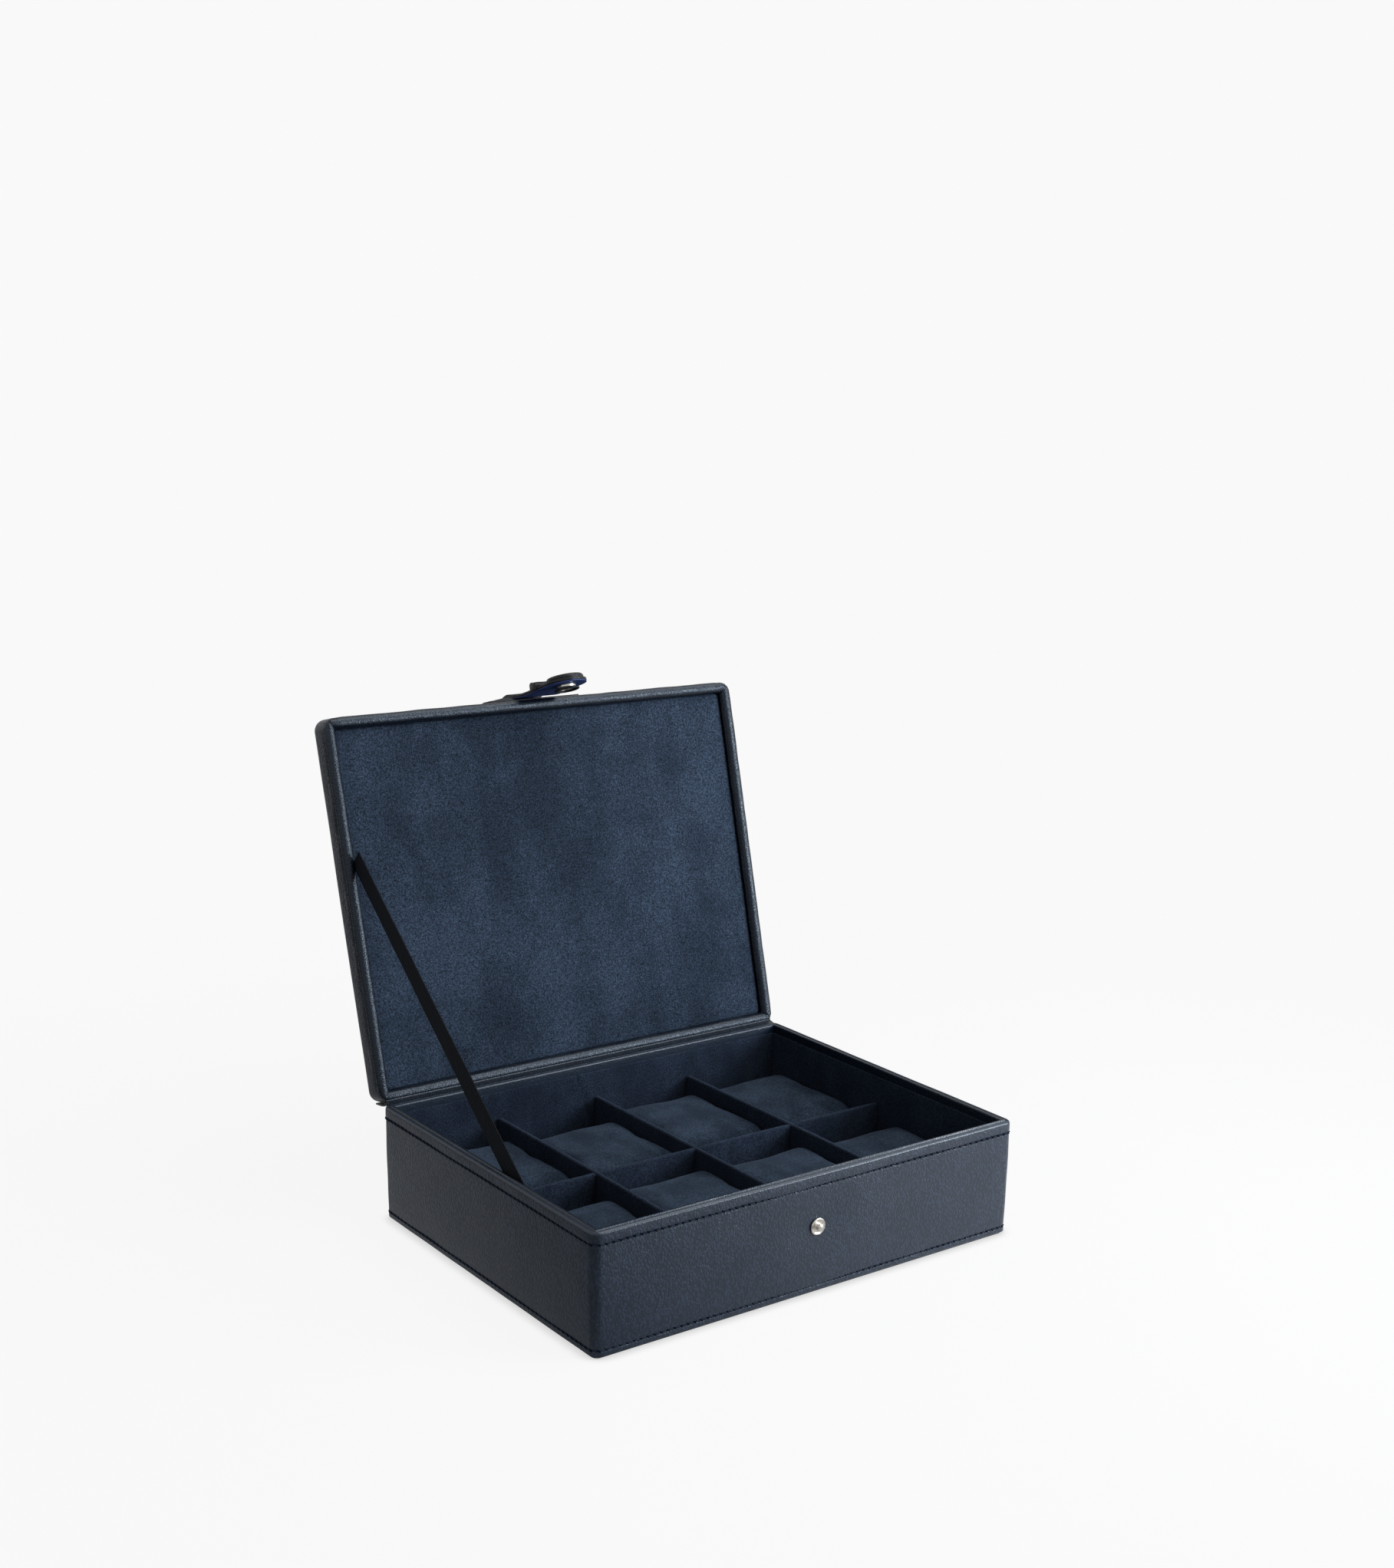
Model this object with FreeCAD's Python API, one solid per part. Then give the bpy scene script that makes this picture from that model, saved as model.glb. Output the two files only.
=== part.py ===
"""A leather watch box: a lined tray with eight cushions, a hinged lid and a strap with a press stud.

Millimetres, +X to the right, +Y to the back and +Z up. The origin is the centre of the footprint,
on the surface that the box stands on. The lid is modelled shut and then turned open.
"""
import FreeCAD, Part
import math
import os

V = FreeCAD.Vector

# Driving sizes of the whole box
box_width = 270.0
box_depth = 210.0
base_height = 65.5
lid_thickness = 18.8
corner_radius = 5.0
lid_open_angle = 104.4
closing_gap = 0.6

# Layers of the walls and of the bottom
leather = 1.2
board = 3.0
lining = 1.8
fold_leather = 1.0
bottom_cover_thickness = 0.8
bottom_cover_inset = 1.5
base_board_thickness = 3.0
floor_lining_thickness = 1.5
rim_outer_round = 2.4
rim_inner_round = 1.6
lining_drop = 4.9

# Dividers and cushions
columns = 4
divider_thickness = 2.9
divider_height = 40.2
slot_clearance = 0.1
divider_end_clearance = 0.2
cushion_height = 34.4
cushion_slack_across = 3.4
cushion_slack_along = 14.7
cushion_wall_clearance = 1.2
cushion_crown = 2.2
cushion_top_round = 12.0
cushion_bottom_round = 5.0
cushion_side_draw = 1.5
cushion_edge_draw = 0.45
cushion_shoulder = 3.0
cushion_flat_start = 10.0
cushion_flat_draw = 0.05
# Where each cushion lies in its free play, from -1 at the front to 1 at the back
back_row_places = (0.3, -0.95, 0.9, 0.9)
front_row_places = (-0.1, 0.85, 0.35, -0.4)

# Lid
lid_outer_round = 6.0
lid_board_thickness = 4.0
rim_width = 6.5
binding_height = 3.0
binding_round = 2.4
binding_inner_round = 2.2
lid_recess = 4.8
suede_panel_thickness = 2.0
suede_panel_round = 0.9
suede_panel_corner = 3.0
panel_gap = 0.1

# Hinge leathers
spine_thickness = 0.9
spine_side_inset = 3.0
spine_on_wall = 30.0
spine_on_lid = 12.5
hinge_strip_thickness = 0.5
hinge_strip_on_rim = 4.6
hinge_strip_on_lid = 3.8

# Ribbon that holds the lid open
ribbon_width = 11.0
ribbon_thickness = 0.6
ribbon_side_gap = 0.4
ribbon_anchor_from_front = 73.0
ribbon_anchor_height = 55.0
ribbon_up_lid = 134.0

# Press stud and strap
stud_height = 36.6
stud_flange_radius = 4.6
stud_flange_thickness = 0.8
stud_post_radius = 2.1
stud_neck_radius = 1.6
stud_neck_height = 1.1
stud_post_height = 2.4
stud_shank_radius = 1.5
backing_radius = 5.0
backing_thickness = 0.8
backing_clearance = 0.2
stud_head_round = 0.5
strap_width = 25.0
strap_leather = 1.6
strap_lining_thickness = 0.7
strap_end_beyond_snap = 11.6
strap_joint_gap = 0.4
strap_sewn_length = 14.3
strap_hinge_above_rim = 1.0
strap_on_lid_top = 26.0
strap_bulge = 3.6
strap_sag = 0.35
strap_lift_at_root = 0.5
strap_lift_at_snap = 4.2
patch_thickness = 0.9
patch_margin = 17.5
patch_down_front = 6.0
patch_on_top = 34.0
roll_length = 6.4
roll_height = 3.5
roll_overhang = 1.0
roll_round = 1.45
roll_before_snap = 14.4
head_radius = 10.6
head_thickness = 2.7
head_round = 1.1
cap_radius = 5.0
cap_thickness = 0.7
socket_radius = 5.35
socket_bore_radius = 3.1
socket_height = 2.4
socket_lip = 0.5
washer_radius = 6.9
washer_bore_radius = 5.4
washer_thickness = 0.8

# Places worked out from the sizes above
half_width = box_width / 2
half_depth = box_depth / 2
wall_total = leather + board + lining
board_bottom = bottom_cover_thickness
floor_bottom = board_bottom + base_board_thickness
floor_top = floor_bottom + floor_lining_thickness
board_top = base_height - leather
lining_top = base_height - lining_drop
divider_top = floor_top + divider_height
inner_left = -half_width + wall_total
inner_front = -half_depth + wall_total
inner_width = box_width - 2 * wall_total
inner_depth = box_depth - 2 * wall_total
bay_width = (inner_width - (columns - 1) * divider_thickness) / columns
bay_length = (inner_depth - divider_thickness) / 2
lid_bottom = base_height + closing_gap
lid_top = base_height + lid_thickness
lid_inside_top = lid_top - leather
lid_board_bottom = lid_inside_top - lid_board_thickness
rail_bottom = lid_bottom + leather
panel_bottom = lid_bottom + lid_recess
panel_top = panel_bottom + suede_panel_thickness
snap_drop = base_height - stud_height
hinge_point = V(0, half_depth, base_height)


def save(shape, name):
    """Writes one piece to its own file."""
    solids = shape.Solids
    if len(solids) != 1 or not shape.isValid():
        print("check", name, "solids", len(solids), "valid", shape.isValid())
    solids[0].exportStep(os.path.join("parts", name + ".step"))
    print(f"{name}: {solids[0].Volume / 1000:.2f} cm3")


def slab(x0, x1, y0, y1, z0, z1):
    """A plain box between two corners."""
    return Part.makeBox(x1 - x0, y1 - y0, z1 - z0, V(x0, y0, z0))


def rounded_block(inset, radius, z0, z1):
    """A block as wide and deep as the box less an inset, with rounded upright corners."""
    x, y = half_width - inset, half_depth - inset
    block = slab(-x, x, -y, y, z0, z1)
    if radius <= 0:
        return block
    upright = [e for e in block.Edges if abs(e.Vertexes[0].Z - e.Vertexes[-1].Z) > (z1 - z0) / 2]
    return block.makeFillet(radius, upright)


def level_edges(shape, z):
    """The edges that lie flat at a height."""
    return [e for e in shape.Edges if all(abs(v.Z - z) < 0.001 for v in e.Vertexes)]


def opened(shape):
    """Turns a piece of the lid from shut to open about the hinge line."""
    turned = shape.copy()
    turned.rotate(hinge_point, V(1, 0, 0), -lid_open_angle)
    return turned


def base_shell():
    """Bottom cover, boards, and the leather that wraps them and folds over the rim."""
    cover = rounded_block(bottom_cover_inset, corner_radius - bottom_cover_inset, 0, board_bottom)
    save(cover, "bottom_cover")
    board_corner = corner_radius - leather
    save(rounded_block(leather, board_corner, board_bottom, floor_bottom), "base_board")

    ring = rounded_block(leather, board_corner, floor_bottom, board_top)
    ring = ring.cut(rounded_block(leather + board, 0, floor_bottom, board_top))
    split = half_depth - leather - board
    for name, y0, y1 in (("front", -half_depth, -split), ("back", split, half_depth)):
        wall = ring.common(slab(-half_width, half_width, y0, y1, 0, base_height))
        if name == "front":
            wall = wall.cut(stud_bore())
        save(wall, name + "_wall_board")
    for name, x0, x1 in (("left", -half_width, 0), ("right", 0, half_width)):
        save(ring.common(slab(x0, x1, -split, split, 0, base_height)), name + "_wall_board")

    skin = rounded_block(0, corner_radius, board_bottom, base_height)
    skin = skin.makeFillet(rim_outer_round, level_edges(skin, base_height))
    fold_inset = leather + board + fold_leather
    well = rounded_block(fold_inset, 0, lining_top, base_height)
    skin = skin.cut(well)
    mouth = [e for e in level_edges(skin, base_height) if within_well(e, fold_inset)]
    skin = skin.makeFillet(rim_inner_round, mouth)
    skin = skin.cut(rounded_block(leather, board_corner, board_bottom, lining_top))
    gap_for_boards = rounded_block(leather, board_corner, lining_top, board_top)
    gap_for_boards = gap_for_boards.cut(rounded_block(leather + board, 0, lining_top, board_top))
    skin = skin.cut(gap_for_boards).cut(stud_bore())
    save(skin, "outer_leather_wrap")


def within_well(edge, inset):
    """True for an edge of the opening that the rim goes round."""
    limit_x, limit_y = half_width - inset + 0.01, half_depth - inset + 0.01
    return all(abs(v.X) <= limit_x and abs(v.Y) <= limit_y for v in edge.Vertexes)


def stud_bore():
    """The hole through the front wall for the shank of the stud."""
    start = V(0, -half_depth - 1, stud_height)
    return Part.makeCylinder(stud_shank_radius, board + leather + 2, start, V(0, 1, 0))


def linings():
    """Suede-covered cards on the floor and on the four walls."""
    save(rounded_block(leather + board, 0, floor_bottom, floor_top), "floor_lining")
    outer, inner = leather + board, wall_total
    x, y = half_width - outer, half_depth - outer
    xi, yi = half_width - inner, half_depth - inner
    front = slab(-x, x, -y, -yi, floor_top, lining_top)
    recess = Part.makeCylinder(backing_radius + backing_clearance,
                               backing_thickness + backing_clearance,
                               V(0, -y, stud_height), V(0, 1, 0))
    save(front.cut(recess), "front_lining_panel")
    save(slab(-x, x, yi, y, floor_top, lining_top), "back_lining_panel")
    save(slab(-x, -xi, -yi, yi, floor_top, lining_top), "left_lining_panel")
    save(slab(xi, x, -yi, yi, floor_top, lining_top), "right_lining_panel")


def divider_left(index):
    """The left face of a long divider, counted from 1."""
    return inner_left + index * bay_width + (index - 1) * divider_thickness


def dividers():
    """Three long dividers and one cross divider, halved into each other."""
    middle = floor_top + divider_height / 2
    half = divider_thickness / 2
    end = inner_depth / 2 - divider_end_clearance
    slot = half + slot_clearance
    for index, name in enumerate(("left", "middle", "right"), 1):
        x0 = divider_left(index)
        panel = slab(x0, x0 + divider_thickness, -end, end, floor_top, divider_top)
        panel = panel.cut(slab(x0 - 1, x0 + divider_thickness + 1, -slot, slot, floor_top, middle))
        save(panel, "long_divider_" + name)
    side = inner_width / 2 - divider_end_clearance
    cross = slab(-side, side, -half, half, floor_top, divider_top)
    for index in range(1, columns):
        x0 = divider_left(index) - slot_clearance
        x1 = x0 + divider_thickness + 2 * slot_clearance
        cross = cross.cut(slab(x0, x1, -half - 1, half + 1, middle, divider_top))
    save(cross, "cross_divider")


def cushion_outline(x, draw):
    """The side outline of a cushion at x, drawn in all round by an amount."""
    length = bay_length - cushion_slack_along
    half = length / 2 - draw
    low = floor_top + draw / 2
    crown_z = floor_top + cushion_height - draw
    shoulder_z = crown_z - cushion_crown
    top_r = min(cushion_top_round, half / 2)
    low_r = min(cushion_bottom_round, half / 3)
    diagonal = 1 - math.sqrt(0.5)

    def at(y, z):
        return V(x, y, z)

    def corner(sign, z, radius, up):
        """The mid point of a quarter-round corner."""
        return at(sign * (half - radius * diagonal), z + up * radius * diagonal)

    shoulder_y = half - top_r
    points = [at(-half + low_r, low), at(half - low_r, low), at(half, low + low_r),
              at(half, shoulder_z - top_r), at(shoulder_y, shoulder_z), at(-shoulder_y, shoulder_z),
              at(-half, shoulder_z - top_r), at(-half, low + low_r)]
    edges = [Part.makeLine(points[0], points[1]),
             Part.Arc(points[1], corner(1, low, low_r, 1), points[2]).toShape(),
             Part.makeLine(points[2], points[3]),
             Part.Arc(points[3], corner(1, shoulder_z, top_r, -1), points[4]).toShape(),
             Part.Arc(points[4], at(0, crown_z), points[5]).toShape(),
             Part.Arc(points[5], corner(-1, shoulder_z, top_r, -1), points[6]).toShape(),
             Part.makeLine(points[6], points[7]),
             Part.Arc(points[7], corner(-1, low, low_r, 1), points[0]).toShape()]
    return Part.Wire(edges)


def cushions():
    """Eight loaf-shaped cushions, one in each bay, each where it was left in its free play."""
    width = bay_width - cushion_slack_across
    near = ((0, cushion_side_draw), (cushion_shoulder, cushion_edge_draw),
            (cushion_flat_start, cushion_flat_draw))
    stations = near + ((width / 2, 0),) + tuple((width - x, draw) for x, draw in reversed(near))
    loaf = Part.makeLoft([cushion_outline(x, draw) for x, draw in stations], True, False)
    loaf = loaf.common(slab(-1, width + 1, -bay_length, bay_length, floor_top, base_height))
    play = cushion_slack_along / 2 - cushion_wall_clearance
    bay_middle = (bay_length + divider_thickness) / 2
    rows = (("back", bay_middle, back_row_places), ("front", -bay_middle, front_row_places))
    for row, y, places in rows:
        for column, place in enumerate(places):
            x = inner_left + column * (bay_width + divider_thickness) + cushion_slack_across / 2
            piece = loaf.copy()
            piece.translate(V(x, y + place * play, 0))
            save(piece, f"cushion_{row}_{column + 1}")


def lid_inner_block():
    """The space inside the lid's leather: what the board and the rails fill."""
    block = rounded_block(leather, corner_radius - leather, rail_bottom, lid_inside_top)
    return block.makeFillet(lid_outer_round - leather, level_edges(block, lid_inside_top))


def lid():
    """Lid board, four rails, leather, rim binding, foam and the suede panel."""
    inside = lid_inner_block()
    whole = (-half_width, half_width, -half_depth, half_depth)
    save(opened(inside.common(slab(*whole, lid_board_bottom, lid_top))), "lid_board")
    rail_inset = rim_width - leather
    frame = inside.cut(slab(*whole, lid_board_bottom, lid_top))
    frame = frame.cut(rounded_block(rail_inset, 0, rail_bottom, lid_board_bottom))
    split = half_depth - rail_inset
    parts = (("lid_front_rail", -half_width, half_width, -half_depth, -split),
             ("lid_back_rail", -half_width, half_width, split, half_depth),
             ("lid_left_rail", -half_width, 0, -split, split),
             ("lid_right_rail", 0, half_width, -split, split))
    for name, x0, x1, y0, y1 in parts:
        save(opened(frame.common(slab(x0, x1, y0, y1, lid_bottom, lid_top))), name)

    seam = lid_bottom + binding_height
    cover = rounded_block(0, corner_radius, seam, lid_top)
    cover = cover.makeFillet(lid_outer_round, level_edges(cover, lid_top))
    save(opened(cover.cut(inside)), "lid_leather_cover")

    binding = rounded_block(0, corner_radius, lid_bottom, seam)
    binding = binding.makeFillet(binding_round, level_edges(binding, lid_bottom))
    skirt = rounded_block(rail_inset, 0, seam, panel_top)
    binding = binding.fuse(skirt).removeSplitter()
    binding = binding.cut(rounded_block(rim_width, suede_panel_corner, lid_bottom, panel_top))
    mouth = [e for e in level_edges(binding, lid_bottom) if within_well(e, rim_width)]
    binding = binding.makeFillet(binding_inner_round, mouth)
    save(opened(binding.cut(frame)), "lid_rim_binding")

    panel = rounded_block(rim_width + panel_gap, suede_panel_corner, panel_bottom, panel_top)
    panel = panel.makeFillet(suede_panel_round, level_edges(panel, panel_bottom))
    save(opened(panel), "lid_suede_panel")
    foam = rounded_block(rail_inset + panel_gap, 0, panel_top, lid_board_bottom)
    save(opened(foam), "lid_foam_pad")


def lid_point(up, out, x=0.0):
    """A point on the open lid: up it from the hinge, and out through its back."""
    lean = math.radians(lid_open_angle - 90)
    return V(x, half_depth + up * math.sin(lean) + out * math.cos(lean),
             base_height + up * math.cos(lean) - out * math.sin(lean))


def prism(points, x0, x1):
    """A solid with the given outline in the YZ plane, from x0 to x1."""
    flat = [V(x0, p.y, p.z) for p in points]
    return Part.Face(Part.makePolygon(flat + flat[:1])).extrude(V(x1 - x0, 0, 0))


def hinge_leathers():
    """The spine outside and the strip inside, in the shape they take with the lid open."""
    x = half_width - spine_side_inset
    back = half_depth
    turn = math.radians(180 - lid_open_angle)
    fold = spine_thickness / math.tan(turn / 2)
    bend = V(0, back, base_height)
    inner_corner = V(0, back + spine_thickness, base_height - fold)
    outline = [bend, V(0, back, base_height - spine_on_wall),
               V(0, back + spine_thickness, base_height - spine_on_wall), inner_corner,
               lid_point(-spine_thickness, spine_on_lid), lid_point(0, spine_on_lid)]
    save(prism(outline, -x, x), "hinge_spine_leather")

    t = hinge_strip_thickness
    front = back - leather - board - fold_leather + rim_inner_round
    start = V(0, front, base_height)
    end = V(0, back - rim_outer_round, base_height)
    up = hinge_strip_on_lid + binding_round
    outline = [start, end, lid_point(binding_round, closing_gap), lid_point(up, closing_gap),
               lid_point(up, closing_gap - t), V(0, back - rim_outer_round + t, base_height + t),
               V(0, front, base_height + t)]
    save(prism(outline, -x, x), "inner_hinge_strip")


def ribbon():
    """The taut ribbon between the left side of the tray and the left side of the lid."""
    side = -half_width + rim_width + ribbon_side_gap
    low = V(0, -half_depth + ribbon_anchor_from_front, ribbon_anchor_height)
    high = lid_point(ribbon_up_lid, closing_gap + lid_recess - ribbon_width / 2)
    run = high - low
    across = V(0, -run.z, run.y)
    across.multiply(ribbon_width / 2 / run.Length)
    outline = [low + across, high + across, high - across, low - across]
    save(prism(outline, side, side + ribbon_thickness), "ribbon_stay")
    print(f"ribbon length {run.Length:.1f}")


def snap_metal():
    """The stud on the front wall and the backing that its shank is riveted to."""
    face = -half_depth
    out = V(0, -1, 0)
    centre = V(0, face, stud_height)
    flange = Part.makeCylinder(stud_flange_radius, stud_flange_thickness, centre, out)
    flange = flange.makeFillet(stud_flange_thickness / 2,
                               [e for e in flange.Edges if e.Vertexes[0].Y < face - 0.1][:1])
    neck_start = centre + out * stud_flange_thickness
    neck = Part.makeCylinder(stud_neck_radius, stud_neck_height, neck_start, out)
    head_start = neck_start + out * stud_neck_height
    head = Part.makeCylinder(stud_post_radius, stud_post_height - stud_neck_height, head_start, out)
    head = head.makeFillet(stud_head_round, [e for e in head.Edges if len(e.Vertexes) == 1])
    shank = Part.makeCylinder(stud_shank_radius, leather + board, centre, V(0, 1, 0))
    save(flange.fuse([neck, head, shank]).removeSplitter(), "snap_stud")
    inside = V(0, face + leather + board, stud_height)
    save(Part.makeCylinder(backing_radius, backing_thickness, inside, V(0, 1, 0)), "stud_backing")


def strap_point(h, w):
    """A point beside the shut lid: h out from its front face, and w above the rim of the tray."""
    return V(0, -half_depth - h, base_height + w)


def strap_line():
    """Points under the strap, from its end on the lid's top, over the edge and down to its tip."""
    top = lid_thickness + patch_thickness
    bulge = top + strap_bulge
    slope = strap_slope()
    tip = snap_drop + strap_end_beyond_snap
    lift = strap_lift_at_root + patch_thickness
    root = [(-strap_on_lid_top, top), (-strap_sewn_length, top), (-5.0, bulge - 1.4),
            (-0.4, bulge - 0.4), (2.2, bulge - 4.6), (lift + 0.5, lid_thickness * 0.55),
            (lift, strap_hinge_above_rim + strap_joint_gap)]
    free = [(lift, strap_hinge_above_rim), (lift + strap_sag, -snap_drop * 0.2),
            (strap_lift_at_root + slope * snap_drop * 0.6, -snap_drop * 0.55),
            (strap_lift_at_snap, -snap_drop),
            (strap_lift_at_snap + slope * strap_end_beyond_snap, -tip)]
    return root, free


def strap_slope():
    """How far the strap lifts off the front for each millimetre down, over its free length."""
    return (strap_lift_at_snap - strap_lift_at_root) / (snap_drop + strap_hinge_above_rim)


def band(line, inner, outer, width):
    """A strip that follows a line of (h, w) points, between two distances outside it."""
    sides = []
    for distance in (inner, outer):
        row = []
        for index, (h, w) in enumerate(line):
            before = line[max(index - 1, 0)]
            after = line[min(index + 1, len(line) - 1)]
            dh, dw = after[0] - before[0], after[1] - before[1]
            size = math.hypot(dh, dw)
            row.append(strap_point(h - dw / size * distance, w + dh / size * distance))
        sides.append(row)
    near, far = sides
    curves = []
    for row in (near, far):
        spline = Part.BSplineCurve()
        spline.interpolate(row)
        curves.append(spline.toShape())
    ends = [Part.makeLine(near[-1], far[-1]), Part.makeLine(near[0], far[0])]
    face = Part.Face(Part.Wire(Part.__sortEdges__([curves[0], ends[0], curves[1], ends[1]])))
    solid = face.extrude(V(width, 0, 0))
    solid.translate(V(-width / 2, 0, 0))
    return solid


def tongue_outline(width, reach):
    """A post as wide as the strap with a round lower end, to trim the tongue with."""
    radius = width / 2
    centre = base_height - snap_drop - strap_end_beyond_snap + radius
    y = -half_depth - width
    straight = slab(-radius, radius, y, y + 2 * width, centre, base_height + reach)
    end = Part.makeCylinder(radius, 2 * width, V(0, y, centre), V(0, 1, 0))
    return straight.fuse(end).removeSplitter()


def strap_frame():
    """The point under the strap at the snap, and the direction straight out of the strap there."""
    free = strap_line()[1]
    h, w = free[-2]
    dh, dw = free[-1][0] - h, free[-1][1] - w
    size = math.hypot(dh, dw)
    out = strap_point(h - dw / size, w + dh / size) - strap_point(h, w)
    return strap_point(h, w), out


def strap():
    """Patch, fixed root and free tongue of the strap, with its roll, head and snap."""
    root_line, free_line = strap_line()
    total = strap_lining_thickness + strap_leather
    sewn_patch = patch()
    save(opened(sewn_patch), "strap_patch")
    save(opened(band(root_line, 0, total, strap_width).cut(sewn_patch)), "strap_root")
    trim = tongue_outline(strap_width, lid_thickness)
    leather_band = band(free_line, strap_lining_thickness, total, strap_width).common(trim)
    save(opened(leather_band), "strap_tongue")
    lining_band = band(free_line, 0, strap_lining_thickness, strap_width).common(trim)
    save(opened(lining_band), "strap_lining")

    centre, out = strap_frame()
    roll(free_line, total)

    base = centre + out * total
    cap = Part.makeCylinder(cap_radius, cap_thickness, base, out)
    head = Part.makeCylinder(head_radius, head_thickness, base, out)
    far_rim = [e for e in head.Edges if len(e.Vertexes) == 1
               and (e.Vertexes[0].Point - base).dot(out) > head_thickness / 2]
    head = head.makeFillet(head_round, far_rim)
    fit = band(free_line, 0, total, 2 * strap_width)
    save(opened(head.cut(cap).cut(fit)), "strap_head")
    save(opened(cap.cut(fit)), "snap_cap")

    under = out * -1
    socket = Part.makeCylinder(socket_radius, socket_height, centre, under)
    floor_of_bore = centre + under * socket_lip
    socket = socket.cut(Part.makeCylinder(socket_bore_radius, socket_height, floor_of_bore, under))
    save(opened(socket.cut(fit)), "snap_socket")
    start = centre + under * socket_height
    ring = Part.makeCylinder(washer_radius, washer_thickness, start, under)
    ring = ring.cut(Part.makeCylinder(washer_bore_radius, washer_thickness, start, under))
    save(opened(ring), "socket_washer")


def patch():
    """The thin leather patch on the lid that the strap is sewn to, over the lid's front edge."""
    x = strap_width / 2 + patch_margin
    outer = lid_outer_round
    corner = (-outer * (1 - math.sqrt(0.5)), lid_thickness - outer * (1 - math.sqrt(0.5)))
    radius = outer + patch_thickness
    rise = (radius * math.sqrt(0.5) - outer, lid_thickness - outer + radius * math.sqrt(0.5))
    low = lid_thickness - outer - patch_down_front
    inner_edges = [
        Part.makeLine(strap_point(-patch_on_top, lid_thickness), strap_point(-outer, lid_thickness)),
        Part.Arc(strap_point(-outer, lid_thickness), strap_point(*corner),
                 strap_point(0, lid_thickness - outer)).toShape(),
        Part.makeLine(strap_point(0, lid_thickness - outer), strap_point(0, low))]
    top = lid_thickness + patch_thickness
    t = patch_thickness
    outer_edges = [
        Part.makeLine(strap_point(-patch_on_top, top), strap_point(-outer, top)),
        Part.Arc(strap_point(-outer, top), strap_point(*rise),
                 strap_point(t, lid_thickness - outer)).toShape(),
        Part.makeLine(strap_point(t, lid_thickness - outer), strap_point(t, low))]
    ends = [Part.makeLine(strap_point(0, low), strap_point(t, low)),
            Part.makeLine(strap_point(-patch_on_top, lid_thickness), strap_point(-patch_on_top, top))]
    wire = Part.Wire(Part.__sortEdges__(inner_edges + outer_edges + ends))
    solid = Part.Face(wire).extrude(V(2 * x, 0, 0))
    solid.translate(V(-x, 0, 0))
    return solid


def roll(free_line, total):
    """The rolled leather bar sewn across the strap, just above its head."""
    w = -snap_drop + roll_before_snap
    h = strap_lift_at_snap - strap_slope() * roll_before_snap + total
    width = strap_width + 2 * roll_overhang
    face = -half_depth - h - roll_height
    bar = slab(-width / 2, width / 2, face, -half_depth - h + total / 2,
               base_height + w - roll_length / 2, base_height + w + roll_length / 2)
    far = [e for e in bar.Edges if all(v.Y < face + 0.01 for v in e.Vertexes)]
    bar = bar.makeFillet(roll_round, far)
    save(opened(bar.cut(band(free_line, -total, total, 2 * width))), "strap_roll")


def main():
    os.makedirs("parts", exist_ok=True)
    base_shell()
    linings()
    dividers()
    cushions()
    lid()
    hinge_leathers()
    ribbon()
    snap_metal()
    strap()


main()
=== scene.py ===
"""The looks of a leather watch box with a hinged lid, eight cushions and a snap strap.

Metres, +X to the right, +Y to the back, +Z up. Sizes below are in millimetres and become metres
through mm(). Pieces of the lid are modelled shut and then opened about the hinge.
"""
import bmesh
import bpy
import math
from mathutils import Matrix, Vector, noise


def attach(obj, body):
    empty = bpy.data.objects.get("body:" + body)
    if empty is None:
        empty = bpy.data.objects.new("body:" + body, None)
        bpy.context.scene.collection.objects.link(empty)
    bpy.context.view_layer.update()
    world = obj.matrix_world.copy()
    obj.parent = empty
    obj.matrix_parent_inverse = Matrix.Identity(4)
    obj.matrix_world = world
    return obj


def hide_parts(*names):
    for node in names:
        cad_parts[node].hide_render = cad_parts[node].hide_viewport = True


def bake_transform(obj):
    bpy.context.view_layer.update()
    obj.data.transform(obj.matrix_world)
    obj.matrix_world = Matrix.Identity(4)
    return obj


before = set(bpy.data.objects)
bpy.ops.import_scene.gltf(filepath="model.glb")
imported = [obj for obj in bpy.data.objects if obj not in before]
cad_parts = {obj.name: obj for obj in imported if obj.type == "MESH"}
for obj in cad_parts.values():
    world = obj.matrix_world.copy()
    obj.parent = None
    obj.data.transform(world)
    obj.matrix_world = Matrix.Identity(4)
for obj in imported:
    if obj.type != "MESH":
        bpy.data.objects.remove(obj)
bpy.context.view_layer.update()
noise.seed_set(1)  # otherwise noise_vector starts somewhere else on each run


def mm(*values):
    """Millimetres to metres: one number, or a point."""
    if len(values) == 1:
        return values[0] / 1000
    return Vector(v / 1000 for v in values)


# Outside
half_width = 135.0
half_depth = 105.0
rim_height = 65.5
closing_gap = 0.6
lid_mouth = rim_height + closing_gap
lid_top = 84.3
lid_height = 18.8
lid_seam = lid_mouth + 3.0
lid_rim_width = 6.5
panel_depth = 4.8
upright_corner = 5.0
lid_open_angle = math.radians(104.4)
hinge = mm(0, half_depth, rim_height)

# Inside
floor_top = 5.3
lining_top = 60.6
wall_lining_outer = 4.2
wall_inner = 6.0
divider_top = 45.5
divider_thickness = 2.9
bay_width = (2 * (half_width - wall_inner) - 3 * divider_thickness) / 4
bay_length = (2 * (half_depth - wall_inner) - divider_thickness) / 2

# Cushions
cushion_spare = 14.7
cushion_size = (bay_width - 3.4, bay_length - cushion_spare, 34.4)
cushion_play = cushion_spare / 2 - 1.2
back_row_places = (0.3, -0.95, 0.9, 0.9)
front_row_places = (-0.1, 0.85, 0.35, -0.4)

# Sewing
stitch_pitch = 4.0
top_seam = 59.0
bottom_seam = 4.3

# Ribbon
ribbon_foot_z = 55.0

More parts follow.
